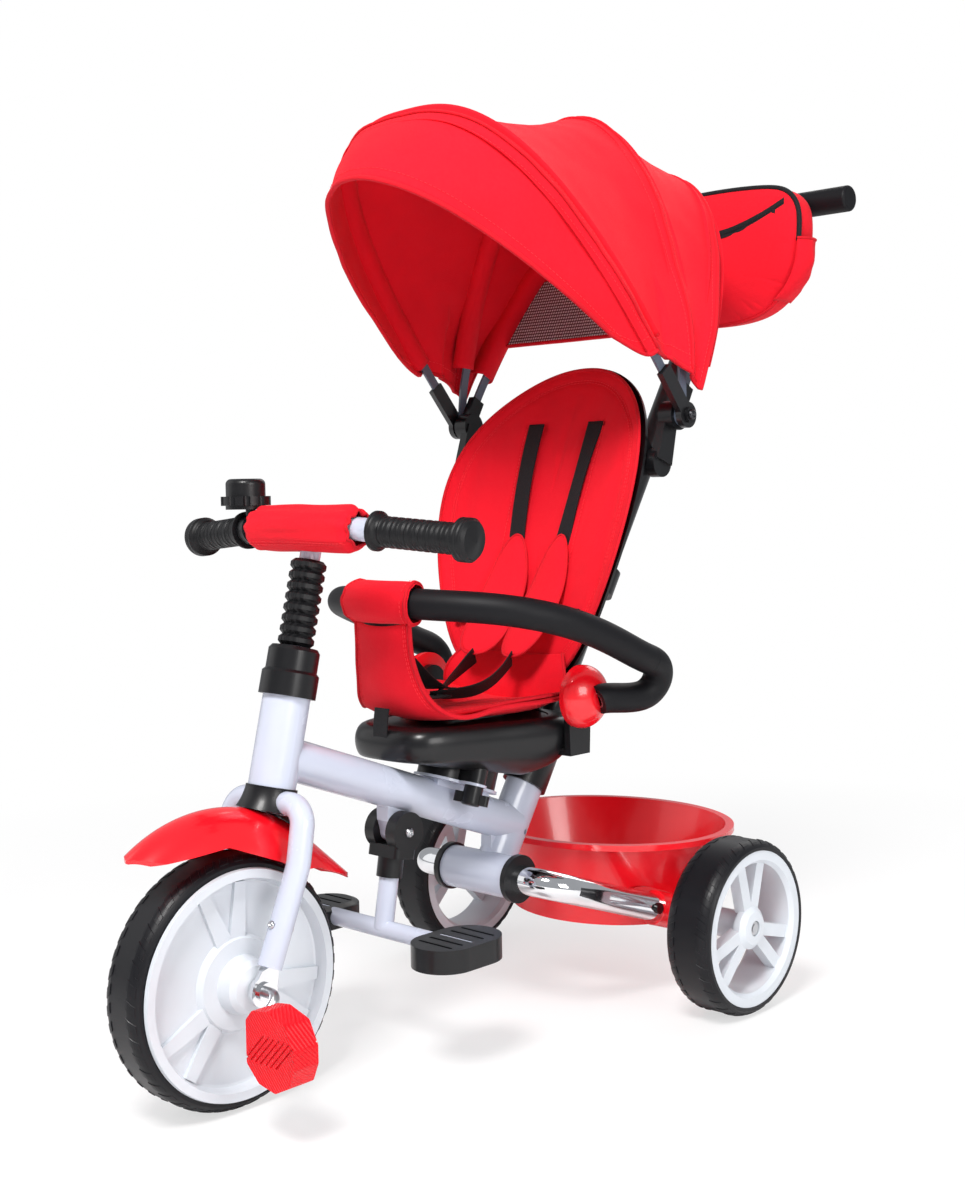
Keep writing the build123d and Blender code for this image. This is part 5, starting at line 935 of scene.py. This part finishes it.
class TRICYCLE_OT_harness(bpy.types.Operator):
    """Lay the shoulder straps, their padded covers, the waist belts and the crotch webbing"""
    bl_idname = "tricycle.harness"
    bl_label = "Harness"

    def execute(self, context):
        width = context.scene.tricycle_sizes.webbing
        pieces = []
        for side, label, twist in ((1, "left", 0.55), (-1, "right", 0.1375)):
            pieces.append(self.shoulder_strap(side, label, twist, width))
            pieces.append(self.cover(side, label))
            reach = np.linspace(0.040, 0.098, 16)
            line = [on_back(side * x, 0.080 - 0.10 * (x - 0.04), STRAP_DEPTH) for x in reach]
            belt = strap(f"waist_belt_{label}", line, BACK_UP, width, WEBBING_THICK, "webbing")
            pieces.append(belt)
        for side, label, sag in ((1, "left", 0.0), (-1, "right", 0.003)):
            line = smooth_line([(side * 0.030, 0.004, 0.420), (side * 0.034, -0.022, 0.402),
                                (side * 0.028, -0.050, 0.3875 + sag), (side * 0.012, -0.076, 0.3850 + sag),
                                (-side * 0.006, -0.096, 0.3845 + sag)], 36)
            turn = np.linspace(0, 1, len(line))[:, None]
            wish = (1 - turn) * np.array([0.35, 0.0, 1.0]) + turn * np.array([1.0, -0.3, 0.45])
            pieces.append(self.laid_strap(f"crotch_belt_{label}", line, wish, width))
        loop = smooth_line([(-0.004, -0.070, 0.3900), (0.004, -0.092, 0.3920), (0.002, -0.112, 0.4020),
                            (-0.006, -0.126, 0.4180), (-0.022, -0.126, 0.4300), (-0.040, -0.110, 0.4270),
                            (-0.056, -0.084, 0.4060)], 48)
        crotch = self.laid_strap("crotch_webbing", loop, np.array([0.8, 0.6, 0.0]), width)
        tongue = smooth_line([(0.004, -0.086, 0.3840), (0.006, -0.110, 0.3835), (0.004, -0.140, 0.3880)], 16)
        short = strap("crotch_tongue", tongue, (1, 0, 0), 0.030, 0.0018, "webbing")
        length_of(tongue)
        for piece in pieces + [crotch, short]:
            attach(piece, "frame")
        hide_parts("harness")
        return {"FINISHED"}

    def shoulder_strap(self, side, label, twist, width):
        """Webbing from its slot down under the cover, turning a little on its way."""
        slot, foot, count = 0.326, 0.150, 40
        shares = np.linspace(0, 1, count)
        line = [on_back(side * (0.048 - 0.013 * share ** 1.3), slot + (foot - slot) * share,
                        STRAP_DEPTH + 0.0046 * sin(share * pi)) for share in shares]
        lean = [(1.0, 0.0, twist * sin(share * pi)) for share in shares]
        webbing = strap(f"shoulder_strap_{label}", line, lean, width, WEBBING_THICK, "webbing")
        return webbing

    def laid_strap(self, name, line, wish, width):
        """Webbing laid on the seat, with its width across the line and near a wished direction."""
        run = np.gradient(line, axis=0)
        webbing = strap(name, line, np.cross(run, np.cross(wish, run)), width, WEBBING_THICK, "webbing")
        length_of(line)
        return webbing

    def cover(self, side, label):
        """A padded cover: pointed at the shoulder, round at the waist."""

        def place(u, v, share):
            x = side * (0.031 + 0.004 * (v / COVER_LENGTH)) + u
            away = 0.0152 + 0.0085 * share + 0.036 * max(0.0, 1 - v / 0.115) ** 1.7
            return on_back(x, 0.018 + v, away)

        pad = pad_shape(f"strap_cover_{label}", COVER_EDGE, place, rings=8, around=64, crown=0.25)
        rim = [place(u, v, 0.5) for u, v in smooth_loop(COVER_EDGE, 110)]
        edge = edging(f"strap_cover_edge_{label}", rim, 0.75, closed=True)
        edge.parent = pad
        return pad


# ---------------------------------------------------------------- guard, handlebar and bag
GUARD_CENTRE = (-0.172, 0.496)     # y and z of the middle of the guard bar
WRAP_SIDES = 44


def wrapped_roll(name, line, radius, swell, tuck, folds, seed):
    """Cloth rolled round a bar: fuller in the middle, drawn in at the ends, with long soft folds."""
    line = np.array(line, float)
    count, sides = len(line), WRAP_SIDES
    along = np.gradient(line, axis=0)
    along /= np.linalg.norm(along, axis=1)[:, None]
    grid = np.empty((count, sides, 3))
    side = np.cross(along[0], (0, 0.3, 1))
    for index in range(count):
        share = index / (count - 1)
        side = side - along[index] * side.dot(along[index])
        side /= np.linalg.norm(side)
        up = np.cross(along[index], side)
        end = min(share, 1 - share)
        body = radius + swell * sin(pi * share) - tuck * (1 - min(1.0, end / 0.06)) ** 2
        for turn in range(sides):
            angle = 2 * pi * turn / sides
            gather = folds * noise.noise(Vector((3.5 * cos(angle), 3.5 * sin(angle), 2.4 * share + seed)))
            pleats = 0.6 * folds * sin(9 * angle) * (1 - min(1.0, end / 0.2))
            reach = body + gather + pleats
            grid[index, turn] = line[index] + reach * (cos(angle) * side + sin(angle) * up)
    faces = grid_faces(count, sides, wrap=True)
    obj = make_object(name, grid.reshape(-1, 3), faces, "red_cloth")
    bake(obj, ("SOLIDIFY", {"thickness": 0.0016, "offset": -1.0}), ("SUBSURF", {"levels": 1}))
    obj.data.shade_smooth()
    return obj, grid


class TRICYCLE_OT_wraps(bpy.types.Operator):
    """Wrap the guard's sleeve and the handlebar's cover in padded cloth"""
    bl_idname = "tricycle.wraps"
    bl_label = "Wraps"

    def execute(self, context):
        lo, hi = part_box("guard_sleeve")
        # the bar's bend is a soft bow across the sleeve
        across = np.linspace(-0.110, 0.110, 400)
        bend = (across / 0.058) ** 2
        y = GUARD_CENTRE[0] + 0.014 * bend * (1 - 0.10 * bend)
        run = np.stack([across, y, GUARD_CENTRE[1] - 0.002 * bend], axis=1)
        keep = run[(across > lo[0]) & (across < hi[0])]
        run = keep[::max(1, len(keep) // 30)]
        sleeve, grid = wrapped_roll("sleeve_cloth", run, radius=0.0236, swell=0.0004, tuck=0.0020,
                                    folds=0.0009, seed=4)
        ends = [edging(f"sleeve_piping_{label}", grid[row], 1.05, closed=True)
                for label, row in (("right", 1), ("left", -2))]
        seam_turn = 30
        rows = [grid[1:-1, seam_turn], grid[1:-1, seam_turn + 1], grid[3], grid[-4]]
        out = [row + 0.03 * (row - np.mean(grid, axis=(0, 1))) for row in rows]
        thread = stitches("sleeve_stitches", out)
        for piece in [sleeve, thread] + ends:
            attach(piece, "guard")
        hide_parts("guard_sleeve")
        self.bar_cover()
        return {"FINISHED"}

    def bar_cover(self):
        """The padded cover round the middle of the handlebar."""
        lo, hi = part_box("bar_cover")
        middle_y, middle_z = (lo[1] + hi[1]) / 2, (lo[2] + hi[2]) / 2
        reach = hi[0] - 0.0015
        bend = 0.0027
        run = [(x, middle_y - bend / 2 + bend * abs(x) / reach, middle_z + 0.0006 - 0.0012 * abs(x) / reach)
               for x in np.linspace(-reach, reach, 46)]
        cover, grid = wrapped_roll("bar_cover_cloth", run, radius=0.0238, swell=0.0010, tuck=0.0065,
                                   folds=0.0022, seed=8)
        rows = [grid[1:-1, turn] + np.array([0, 0, -0.0006]) for turn in (6, 7)]
        thread = stitches("bar_cover_stitches", rows)
        ends = [edging(f"bar_cover_hem_{label}", grid[row], 0.9, closed=True)
                for label, row in (("right", 0), ("left", -1))]
        for piece in [cover, thread] + ends:
            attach(piece, "steering")
        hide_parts("bar_cover")


# a loop of webbing from the back of the bag round the handle bar, as y and z
BAG_LOOP = [(0.4905, 0.9985), (0.4975, 1.0065), (0.5095, 1.0092), (0.5225, 1.0035), (0.5290, 0.9900),
            (0.5225, 0.9765), (0.5095, 0.9708), (0.4985, 0.9735), (0.4905, 0.9790)]
BAG_AROUND = 200
# rings from the back over the side to the front: inset and share of the depth
BAG_RINGS = ((0.985, 0.02), (0.6, 0.02), (0.2, 0.01), (0.04, 0.01), (0.005, 0.05), (-0.004, 0.28),
             (-0.006, 0.52), (0.0, 0.76), (0.022, 0.86), (0.07, 0.93), (0.2, 0.985), (0.45, 1.0), (0.75, 1.0),
             (0.985, 1.0))
BAG_SIDE_RINGS = (4, 8)


class TRICYCLE_OT_bag(bpy.types.Operator):
    """Shape the parent's bag with its binding, zip, side pocket and loops"""
    bl_idname = "tricycle.bag"
    bl_label = "Bag"

    def execute(self, context):
        lo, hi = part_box("parent_bag")
        half, low, high, back, front = hi[0], lo[2], hi[2], hi[1], lo[1]
        height, depth = high - low, back - front
        middle, rise = (low + high) / 2, height / 2
        outline = [(0, low), (0.42 * half, low + 0.03 * rise), (0.70 * half, middle - 0.78 * rise),
                   (0.90 * half, middle - 0.44 * rise), (0.965 * half, middle - 0.10 * rise),
                   (0.985 * half, middle + 0.35 * rise), (0.965 * half, middle + 0.62 * rise),
                   (0.86 * half, middle + 0.84 * rise), (0.66 * half, middle + 0.95 * rise), (0, high)]
        loop = smooth_loop(outline, BAG_AROUND)

        def place(u, v, share):
            level = (v - low) / height
            full = depth * (0.66 + 0.32 * sin(pi * min(1.0, (1 - level) * 0.72 + 0.18)))
            return np.array([u, back - 0.0015 - full * max(0.0, share), v])

        verts = []
        for inset, share in BAG_RINGS:
            for u, v in loop:
                verts.append(place(u * (1 - inset), middle + (v - middle) * (1 - inset), share))
        faces = grid_faces(len(BAG_RINGS), BAG_AROUND, wrap=True)
        last = (len(BAG_RINGS) - 1) * BAG_AROUND
        faces += [tuple(range(BAG_AROUND - 1, -1, -1)), tuple(range(last, last + BAG_AROUND))]
        bag = make_object("bag_shell", verts, faces, "red_cloth")
        sewn_down(bag, range(BAG_SIDE_RINGS[0] * BAG_AROUND, BAG_SIDE_RINGS[1] * BAG_AROUND))
        puff_up(bag, pressure=1.5, cap=0.0025)
        bag_rim = smooth_loop(outline, 260)
        rim = np.array([place(u * 1.002, middle + (v - middle) * 1.002, 0.79) for u, v in bag_rim])
        upper = rim[:, 2] > middle + 0.10 * rise
        first = int(np.argmax(upper & ~np.roll(upper, 1)))
        run = np.roll(rim, -first, axis=0)
        count = int(upper.sum())
        bindings = [tube("bag_binding", run[:count], 0.0034, "black_binding"),
                    edging("bag_piping", np.vstack([run[count - 1:], run[:1]]), 1.15)]
        zip_half = 0.84 * half
        zip_line = [(x, front - 0.1, high - 0.062 + 0.034 * (x / zip_half) ** 2)
                    for x in np.linspace(-zip_half, zip_half, 90)]
        zip_line = lie_on(bag, zip_line, (0, 1, 0))
        press_seam(bag, zip_line, depth=0.0016, reach=0.0060)
        zip_line = lie_on(bag, zip_line - np.array([0, 0.05, 0]), (0, 1, 0))
        forward = np.array([0, -1.0, 0])
        tape = strap("bag_zip_tape", zip_line + 0.0008 * forward, (0, 0, 1), 0.0110, 0.0009, "black_binding")
        teeth = stitches("bag_zip_teeth", [zip_line + 0.0014 * forward], 0.0040, "black_binding",
                         0.0011)
        drop = [zip_line[-6] + np.array([0, -0.0022, -0.001 - k * 0.005]) for k in range(5)]
        tag = strap("bag_zip_pull", drop, (1, 0, 0), 0.005, 0.0012, "black_binding")
        pocket_grid, pocket, pocket_hem = self.side_pocket(loop, low, back, depth)
        straps = []
        for side, label in ((1, "left"), (-1, "right")):
            line = smooth_line([(side * 0.062, y, z) for y, z in BAG_LOOP], 40)
            straps.append(strap(f"bag_loop_{label}", line, (1, 0, 0), 0.024, 0.0014, "webbing"))
            length_of(line)
        for piece in [bag, tape, teeth, tag, pocket, pocket_hem] + bindings + straps:
            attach(piece, "push_handle")
        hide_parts("parent_bag")
        sheet_area(pocket_grid)
        return {"FINISHED"}

    def side_pocket(self, loop, low, back, depth):
        """The open pocket on the bag's left end."""
        pocket_rows = []
        side_edge = loop[loop[:, 0] > 0]
        side_edge = side_edge[np.argsort(side_edge[:, 1])]
        for share in np.linspace(0, 1, 18):
            row = []
            z = low + 0.024 + share * 0.078
            wide = np.interp(z, side_edge[:, 1], side_edge[:, 0])
            for turn in np.linspace(0, 1, 22):
                y = back - 0.006 - turn * (depth * 0.80)
                bulge = 0.013 * sin(pi * turn) ** 0.7 * sin(pi * (0.12 + 0.70 * share)) ** 0.7
                row.append((wide + 0.0018 + bulge, y, z))
            pocket_rows.append(row)
        pocket_grid = ruffle(np.array(pocket_rows), depth=0.0016, scale=60.0, seed=2)
        pocket = cloth_sheet("bag_pocket", pocket_grid, "red_cloth", 0.0012)
        pocket_hem = edging("bag_pocket_hem", pocket_grid[-1])
        return pocket_grid, pocket, pocket_hem


# ---------------------------------------------------------------- tyres and small hardware
# a block runs between two shares of the tyre's half width and fills a share of its pitch
BLOCK_INNER, BLOCK_OUTER, BLOCK_SHARE = 0.50, 0.90, 0.62


def tread_lugs(name, node, body, count, skew, height):
    """Raised blocks round both shoulders of a tyre, laid on its own surface."""
    lo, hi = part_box(node)
    centre = [(a + b) / 2 for a, b in zip(lo, hi)]
    radius, half = (hi[2] - lo[2]) / 2, (hi[0] - lo[0]) / 2
    tree = BVHTree.FromObject(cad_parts[node], bpy.context.evaluated_depsgraph_get())

    def surface(x, angle):
        """The point of the tyre at a place across it and round it, and the way out from there."""
        out = Vector((0, cos(angle), sin(angle)))
        start = Vector((centre[0] + x, centre[1], centre[2])) + out * (radius + 0.02)
        hit = tree.ray_cast(start, -out)
        if hit[0] is None:
            return np.array(start - out * 0.024), np.array(out)
        return np.array(hit[0]), np.array(out)

    verts, faces = [], []
    steps_x, steps_a = 5, 3
    for index in range(count):
        for side in (-1, 1):
            middle = 2 * pi * (index + (0.5 if side > 0 else 0)) / count
            wide = 2 * pi / count * BLOCK_SHARE
            first = len(verts)
            for level in (0, 1):
                for i in range(steps_x):
                    t = i / (steps_x - 1)
                    x = side * half * (BLOCK_INNER + (BLOCK_OUTER - BLOCK_INNER) * t)
                    for j in range(steps_a):
                        narrow = 1 if level == 0 else 0.84
                        angle = middle + skew * t + wide * (j / (steps_a - 1) - 0.5) * narrow
                        point, out = surface(x, angle)
                        verts.append(point + out * (height if level else -0.0006))
            top = first + steps_x * steps_a
            for i in range(steps_x - 1):
                for j in range(steps_a - 1):
                    a = top + i * steps_a + j
                    quad = (a, a + 1, a + steps_a + 1, a + steps_a)
                    faces.append(quad if side < 0 else quad[::-1])
            ring = [i * steps_a for i in range(steps_x)]
            ring += [(steps_x - 1) * steps_a + j for j in range(1, steps_a)]
            ring += [i * steps_a + steps_a - 1 for i in range(steps_x - 2, -1, -1)]
            ring += [j for j in range(steps_a - 2, 0, -1)]
            for a, b in zip(ring, ring[1:] + ring[:1]):
                quad = (first + a, top + a, top + b, first + b)
                faces.append(quad if side < 0 else quad[::-1])
    lugs = make_object(name, verts, faces, "tyre_rubber", smooth=False)
    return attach(lugs, body)


class TRICYCLE_OT_tyres(bpy.types.Operator):
    """Raise the shoulder blocks of the three tyres"""
    bl_idname = "tricycle.tyres"
    bl_label = "Tyres"

    def execute(self, context):
        sizes = context.scene.tricycle_sizes
        height = sizes.tread_height
        tread_lugs("front_tread", "front_tyre", "front_wheel", sizes.tread_blocks, 0.055, height)
        rear = int(sizes.tread_blocks * 0.82)
        for side in ("left", "right"):
            tread_lugs(f"rear_tread_{side}", f"rear_tyre_{side}", f"rear_wheel_{side}", rear, 0.065, height)
        return {"FINISHED"}


# the bolts go through the fork legs between the knee and the chrome ends
FORK_BOLT = np.array([0, -0.3745, 0.187])
FORK_ACROSS = np.array([0, -0.9216, 0.3881])
FORK_HALF, FORK_LEG_RADIUS = 0.060, 0.0121
FOOTREST_AXIS = (-0.162, 0.241)
SCREW_SUNK = 0.0004


class TRICYCLE_OT_hardware(bpy.types.Operator):
    """Set the screw heads of the canopy joints, the footrest and the fork"""
    bl_idname = "tricycle.hardware"
    bl_label = "Hardware"

    def execute(self, context):
        arms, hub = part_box("canopy_arms"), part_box("footrest_hub")
        for side, label, end in ((1, "left", 1), (-1, "right", 0)):
            place = (arms[end][0] - side * SCREW_SUNK, PIVOT[1], PIVOT[2])
            screw(f"canopy_screw_{label}", "canopy_links", place, (side, 0, 0), 0.0060, "black_steel")
        for side, label, end in ((1, "left", 1), (-1, "right", 0)):
            place = (hub[end][0] - side * SCREW_SUNK, *FOOTREST_AXIS)
            screw(f"footrest_screw_{label}", "footrest", place, (side, 0, 0), 0.0055)
            for facing, name in ((1, "front"), (-1, "rear")):
                out = FORK_ACROSS * facing
                seat = np.array([side * FORK_HALF, 0, 0]) + FORK_BOLT + out * FORK_LEG_RADIUS
                screw(f"fork_screw_{name}_{label}", "steering", seat, out, 0.0042)
        return {"FINISHED"}


# ---------------------------------------------------------------- finishes of the carried parts
SLOT_FINISHES = {
    "white_paint": "enamel", "black_paint": "black_enamel", "grey_paint": "bow_paint", "chrome": "chrome",
    "steel": "steel", "white_plastic": "rim_plastic", "red_plastic": "red_gloss",
    "black_plastic": "black_plastic", "foam_rubber": "foam", "grip_rubber": "grip_rubber",
    "eva_tyre": "tyre_rubber", "red_fabric": "red_cloth", "black_webbing": "webbing",
}
NODE_FINISHES = {
    "saddle": "saddle_vinyl", "canopy_bow_front": "front_bow_paint", "pedal_left": "pedal_plastic",
    "pedal_right": "pedal_plastic", "footrest_pads": "footrest_rubber",
}


class TRICYCLE_OT_finishes(bpy.types.Operator):
    """Mix every finish and lay it on the carried parts"""
    bl_idname = "tricycle.finishes"
    bl_label = "Finishes"

    def execute(self, context):
        colours = context.scene.tricycle_colours
        red, black = tuple(colours.red_cloth), tuple(colours.black)
        woven("red_cloth", red, 420.0, 0.03, 0.80)
        woven("red_binding", tuple(c * 0.80 for c in red[:3]) + (1,), 700.0, 0.03, 0.72)
        woven("red_thread", tuple(min(1.0, c * 1.1 + 0.02) for c in red[:3]) + (1,), 900.0, 0.1, 0.60)
        woven("webbing", (0.0055, 0.0055, 0.007, 1), 520.0, 0.04, 0.62)
        woven("black_binding", (0.006, 0.006, 0.008, 1), 700.0, 0.04, 0.6)
        moulded("enamel", tuple(colours.enamel), 0.26, 0.015, 0.5, (0.98, 1.02))
        moulded("black_enamel", black, 0.30, 0.03, 0.3)
        moulded("bow_paint", tuple(colours.bow_grey), 0.34, 0.03, 0.2)
        moulded("rim_plastic", tuple(colours.rim), 0.32, 0.05, 0.1, (0.97, 1.03))
        moulded("red_gloss", tuple(colours.red_plastic), 0.24, 0.02, 0.35, (0.96, 1.04))
        moulded("black_plastic", black, 0.33, 0.06, 0.05, shine=0.36)
        moulded("foam", (0.005, 0.005, 0.0065, 1), 0.52, 0.22, shine=0.20)
        moulded("tyre_rubber", (0.006, 0.006, 0.008, 1), 0.42, 0.10, 0.03, shine=0.24)
        moulded("saddle_vinyl", (0.0050, 0.0050, 0.0060, 1), 0.32, 0.16, 0.10, shine=0.34)
        moulded("footrest_rubber", (0.006, 0.006, 0.007, 1), 0.36, 0.10, 0.1, shine=0.30)
        ribbed("grip_rubber", black, 0.45, 55.0, "X")
        ribbed("pedal_plastic", tuple(colours.red_plastic), 0.40, 140.0, "DIAGONAL")
        metal("chrome", (0.80, 0.81, 0.83), 0.07, 0.01)
        metal("steel", (0.52, 0.53, 0.55), 0.28)
        metal("black_steel", (0.05, 0.05, 0.055), 0.35)
        window_mesh("window_net")
        socketed("front_bow_paint", tuple(colours.bow_grey), black)
        for name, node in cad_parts.items():
            for index, held in enumerate(node.material_slots):
                kind = held.material.name.split(".")[0]
                finish = NODE_FINISHES.get(name) or SLOT_FINISHES.get(kind)
                if finish is None:
                    raise RuntimeError(f"no finish for {name} {kind}")
                node.material_slots[index].material = FINISHES[finish]
        return {"FINISHED"}


# ---------------------------------------------------------------- stage
CAMERA_PLACE, CAMERA_TARGET = Vector((1.270, -1.351, 0.615)), Vector((-0.0002, -0.0121, 0.4881))
CAMERA_ROLL, CAMERA_LENS = radians(-1.0), 47.36
FLOOR_LEVEL = -0.0008


def white_for_view(tree):
    """One where the camera looks, straight or through a clear part, and nought for the light on the object."""
    path = tree.nodes.new("ShaderNodeLightPath")
    either = tree.nodes.new("ShaderNodeMath")
    either.operation = "MAXIMUM"
    tree.links.new(path.outputs["Is Camera Ray"], either.inputs[0])
    tree.links.new(path.outputs["Is Transmission Ray"], either.inputs[1])
    return either.outputs[0]


class TRICYCLE_OT_stage(bpy.types.Operator):
    """Lay the floor, hang the lamps and place the camera"""
    bl_idname = "tricycle.stage"
    bl_label = "Stage"

    def execute(self, context):
        scene = context.scene
        scene.view_settings.view_transform = "Standard"
        self.world(scene)
        self.floor(tuple(scene.tricycle_colours.floor))
        self.lamp("key", (1.0, -2.0, 3.0), (0, 0, 0.45), power=118, size=0.9)
        self.lamp("fill", (-2.4, -1.6, 1.5), (0, 0, 0.5), power=12, size=2.4)
        self.lamp("side", (2.9, -0.6, 1.3), (0, 0, 0.5), power=38, size=1.2)
        self.lamp("back", (-0.8, 2.6, 2.4), (0, 0, 0.6), power=22, size=1.8)
        eye = bpy.data.cameras.new("camera")
        camera = bpy.data.objects.new("camera", eye)
        scene.collection.objects.link(camera)
        turn = (CAMERA_TARGET - CAMERA_PLACE).to_track_quat("-Z", "Y") @ Quaternion((0, 0, 1), CAMERA_ROLL)
        camera.location = CAMERA_PLACE
        camera.rotation_euler = turn.to_euler()
        eye.lens, eye.sensor_width = CAMERA_LENS, 36
        scene.camera = camera
        return {"FINISHED"}

    def world(self, scene):
        """A pale surround that lights the object, seen as plain white."""
        world = bpy.data.worlds.new("studio")
        world.use_nodes = True
        scene.world = world
        tree = world.node_tree
        surround = tree.nodes["Background"]
        surround.inputs["Color"].default_value = (0.94, 0.96, 1.0, 1)
        surround.inputs["Strength"].default_value = 0.42
        plain = tree.nodes.new("ShaderNodeBackground")
        plain.inputs["Color"].default_value = (1, 1, 1, 1)
        plain.inputs["Strength"].default_value = 1.0
        mix = tree.nodes.new("ShaderNodeMixShader")
        tree.links.new(white_for_view(tree), mix.inputs["Fac"])
        tree.links.new(surround.outputs[0], mix.inputs[1])
        tree.links.new(plain.outputs[0], mix.inputs[2])
        tree.links.new(mix.outputs[0], tree.nodes["World Output"].inputs["Surface"])

    def floor(self, colour):
        """A round floor that takes the shadows and fades to white away from the object."""
        reach, rings, around = 6.0, 24, 64
        verts = [(0, 0, FLOOR_LEVEL)]
        for ring in range(1, rings + 1):
            radius = reach * (ring / rings) ** 2
            verts += [(radius * cos(2 * pi * k / around), radius * sin(2 * pi * k / around), FLOOR_LEVEL)
                      for k in range(around)]
        faces = [(0, 1 + k, 1 + (k + 1) % around) for k in range(around)]
        for ring in range(rings - 1):
            base = 1 + ring * around
            faces += [(base + k, base + around + k, base + around + (k + 1) % around, base + (k + 1) % around)
                      for k in range(around)]
        material, tree, shader, place = node_tree("floor")
        FINISHES["floor"] = material
        two_tone(tree, shader, add_noise(tree, place, 4.0), colour, 0.99, 1.01)
        shader.inputs["Roughness"].default_value = 0.75
        glow = tree.nodes.new("ShaderNodeEmission")
        distance = tree.nodes.new("ShaderNodeVectorMath")
        distance.operation = "LENGTH"
        tree.links.new(place, distance.inputs[0])
        spread = tree.nodes.new("ShaderNodeMapRange")
        spread.inputs["From Min"].default_value = 0.55
        spread.inputs["From Max"].default_value = 1.6
        spread.inputs["To Min"].default_value = 0.62
        spread.inputs["To Max"].default_value = 1.0
        tree.links.new(distance.outputs["Value"], spread.inputs["Value"])
        share = tree.nodes.new("ShaderNodeMath")
        share.operation = "MULTIPLY"
        tree.links.new(white_for_view(tree), share.inputs[0])
        tree.links.new(spread.outputs["Result"], share.inputs[1])
        mix = tree.nodes.new("ShaderNodeMixShader")
        tree.links.new(share.outputs[0], mix.inputs["Fac"])
        tree.links.new(shader.outputs[0], mix.inputs[1])
        tree.links.new(glow.outputs[0], mix.inputs[2])
        tree.links.new(mix.outputs[0], tree.nodes["Material Output"].inputs["Surface"])
        make_object("floor", verts, faces, "floor")

    def lamp(self, name, place, target, power, size):
        """A square lamp aimed at a point."""
        light = bpy.data.lights.new(name, "AREA")
        light.energy, light.size = power, size
        light.color = (1.0, 0.985, 0.97)
        lamp = bpy.data.objects.new(name, light)
        bpy.context.scene.collection.objects.link(lamp)
        lamp.location = place
        lamp.rotation_euler = (Vector(target) - Vector(place)).to_track_quat("-Z", "Y").to_euler()


class TRICYCLE_PT_sidebar(bpy.types.Panel):
    """The tricycle's sizes, colours and making steps"""
    bl_label = "Tricycle"
    bl_idname = "TRICYCLE_PT_sidebar"
    bl_space_type = "VIEW_3D"
    bl_region_type = "UI"
    bl_category = "Tricycle"

    def draw(self, context):
        column = self.layout.column()
        for holder in (context.scene.tricycle_sizes, context.scene.tricycle_colours):
            for name in holder.__annotations__:
                column.prop(holder, name)
        for operator in STEPS:
            self.layout.operator(operator.bl_idname)


STEPS = (TRICYCLE_OT_finishes, TRICYCLE_OT_canopy, TRICYCLE_OT_seat, TRICYCLE_OT_harness, TRICYCLE_OT_wraps,
         TRICYCLE_OT_bag, TRICYCLE_OT_tyres, TRICYCLE_OT_hardware, TRICYCLE_OT_stage)
CLASSES = (TricycleSizes, TricycleColours) + STEPS + (TRICYCLE_PT_sidebar,)


def register():
    """Makes the classes known and hangs the properties on the scene."""
    for item in CLASSES:
        bpy.utils.register_class(item)
    bpy.types.Scene.tricycle_sizes = bpy.props.PointerProperty(type=TricycleSizes)
    bpy.types.Scene.tricycle_colours = bpy.props.PointerProperty(type=TricycleColours)


def unregister():
    """Takes back what register added."""
    del bpy.types.Scene.tricycle_sizes
    del bpy.types.Scene.tricycle_colours
    for item in reversed(CLASSES):
        bpy.utils.unregister_class(item)


def main():
    """Builds the whole tricycle."""
    register()
    bpy.ops.tricycle.finishes()
    bpy.ops.tricycle.canopy()
    bpy.ops.tricycle.seat()
    bpy.ops.tricycle.harness()
    bpy.ops.tricycle.wraps()
    bpy.ops.tricycle.bag()
    bpy.ops.tricycle.tyres()
    bpy.ops.tricycle.hardware()
    bpy.ops.tricycle.stage()


if __name__ == "__main__":
    main()
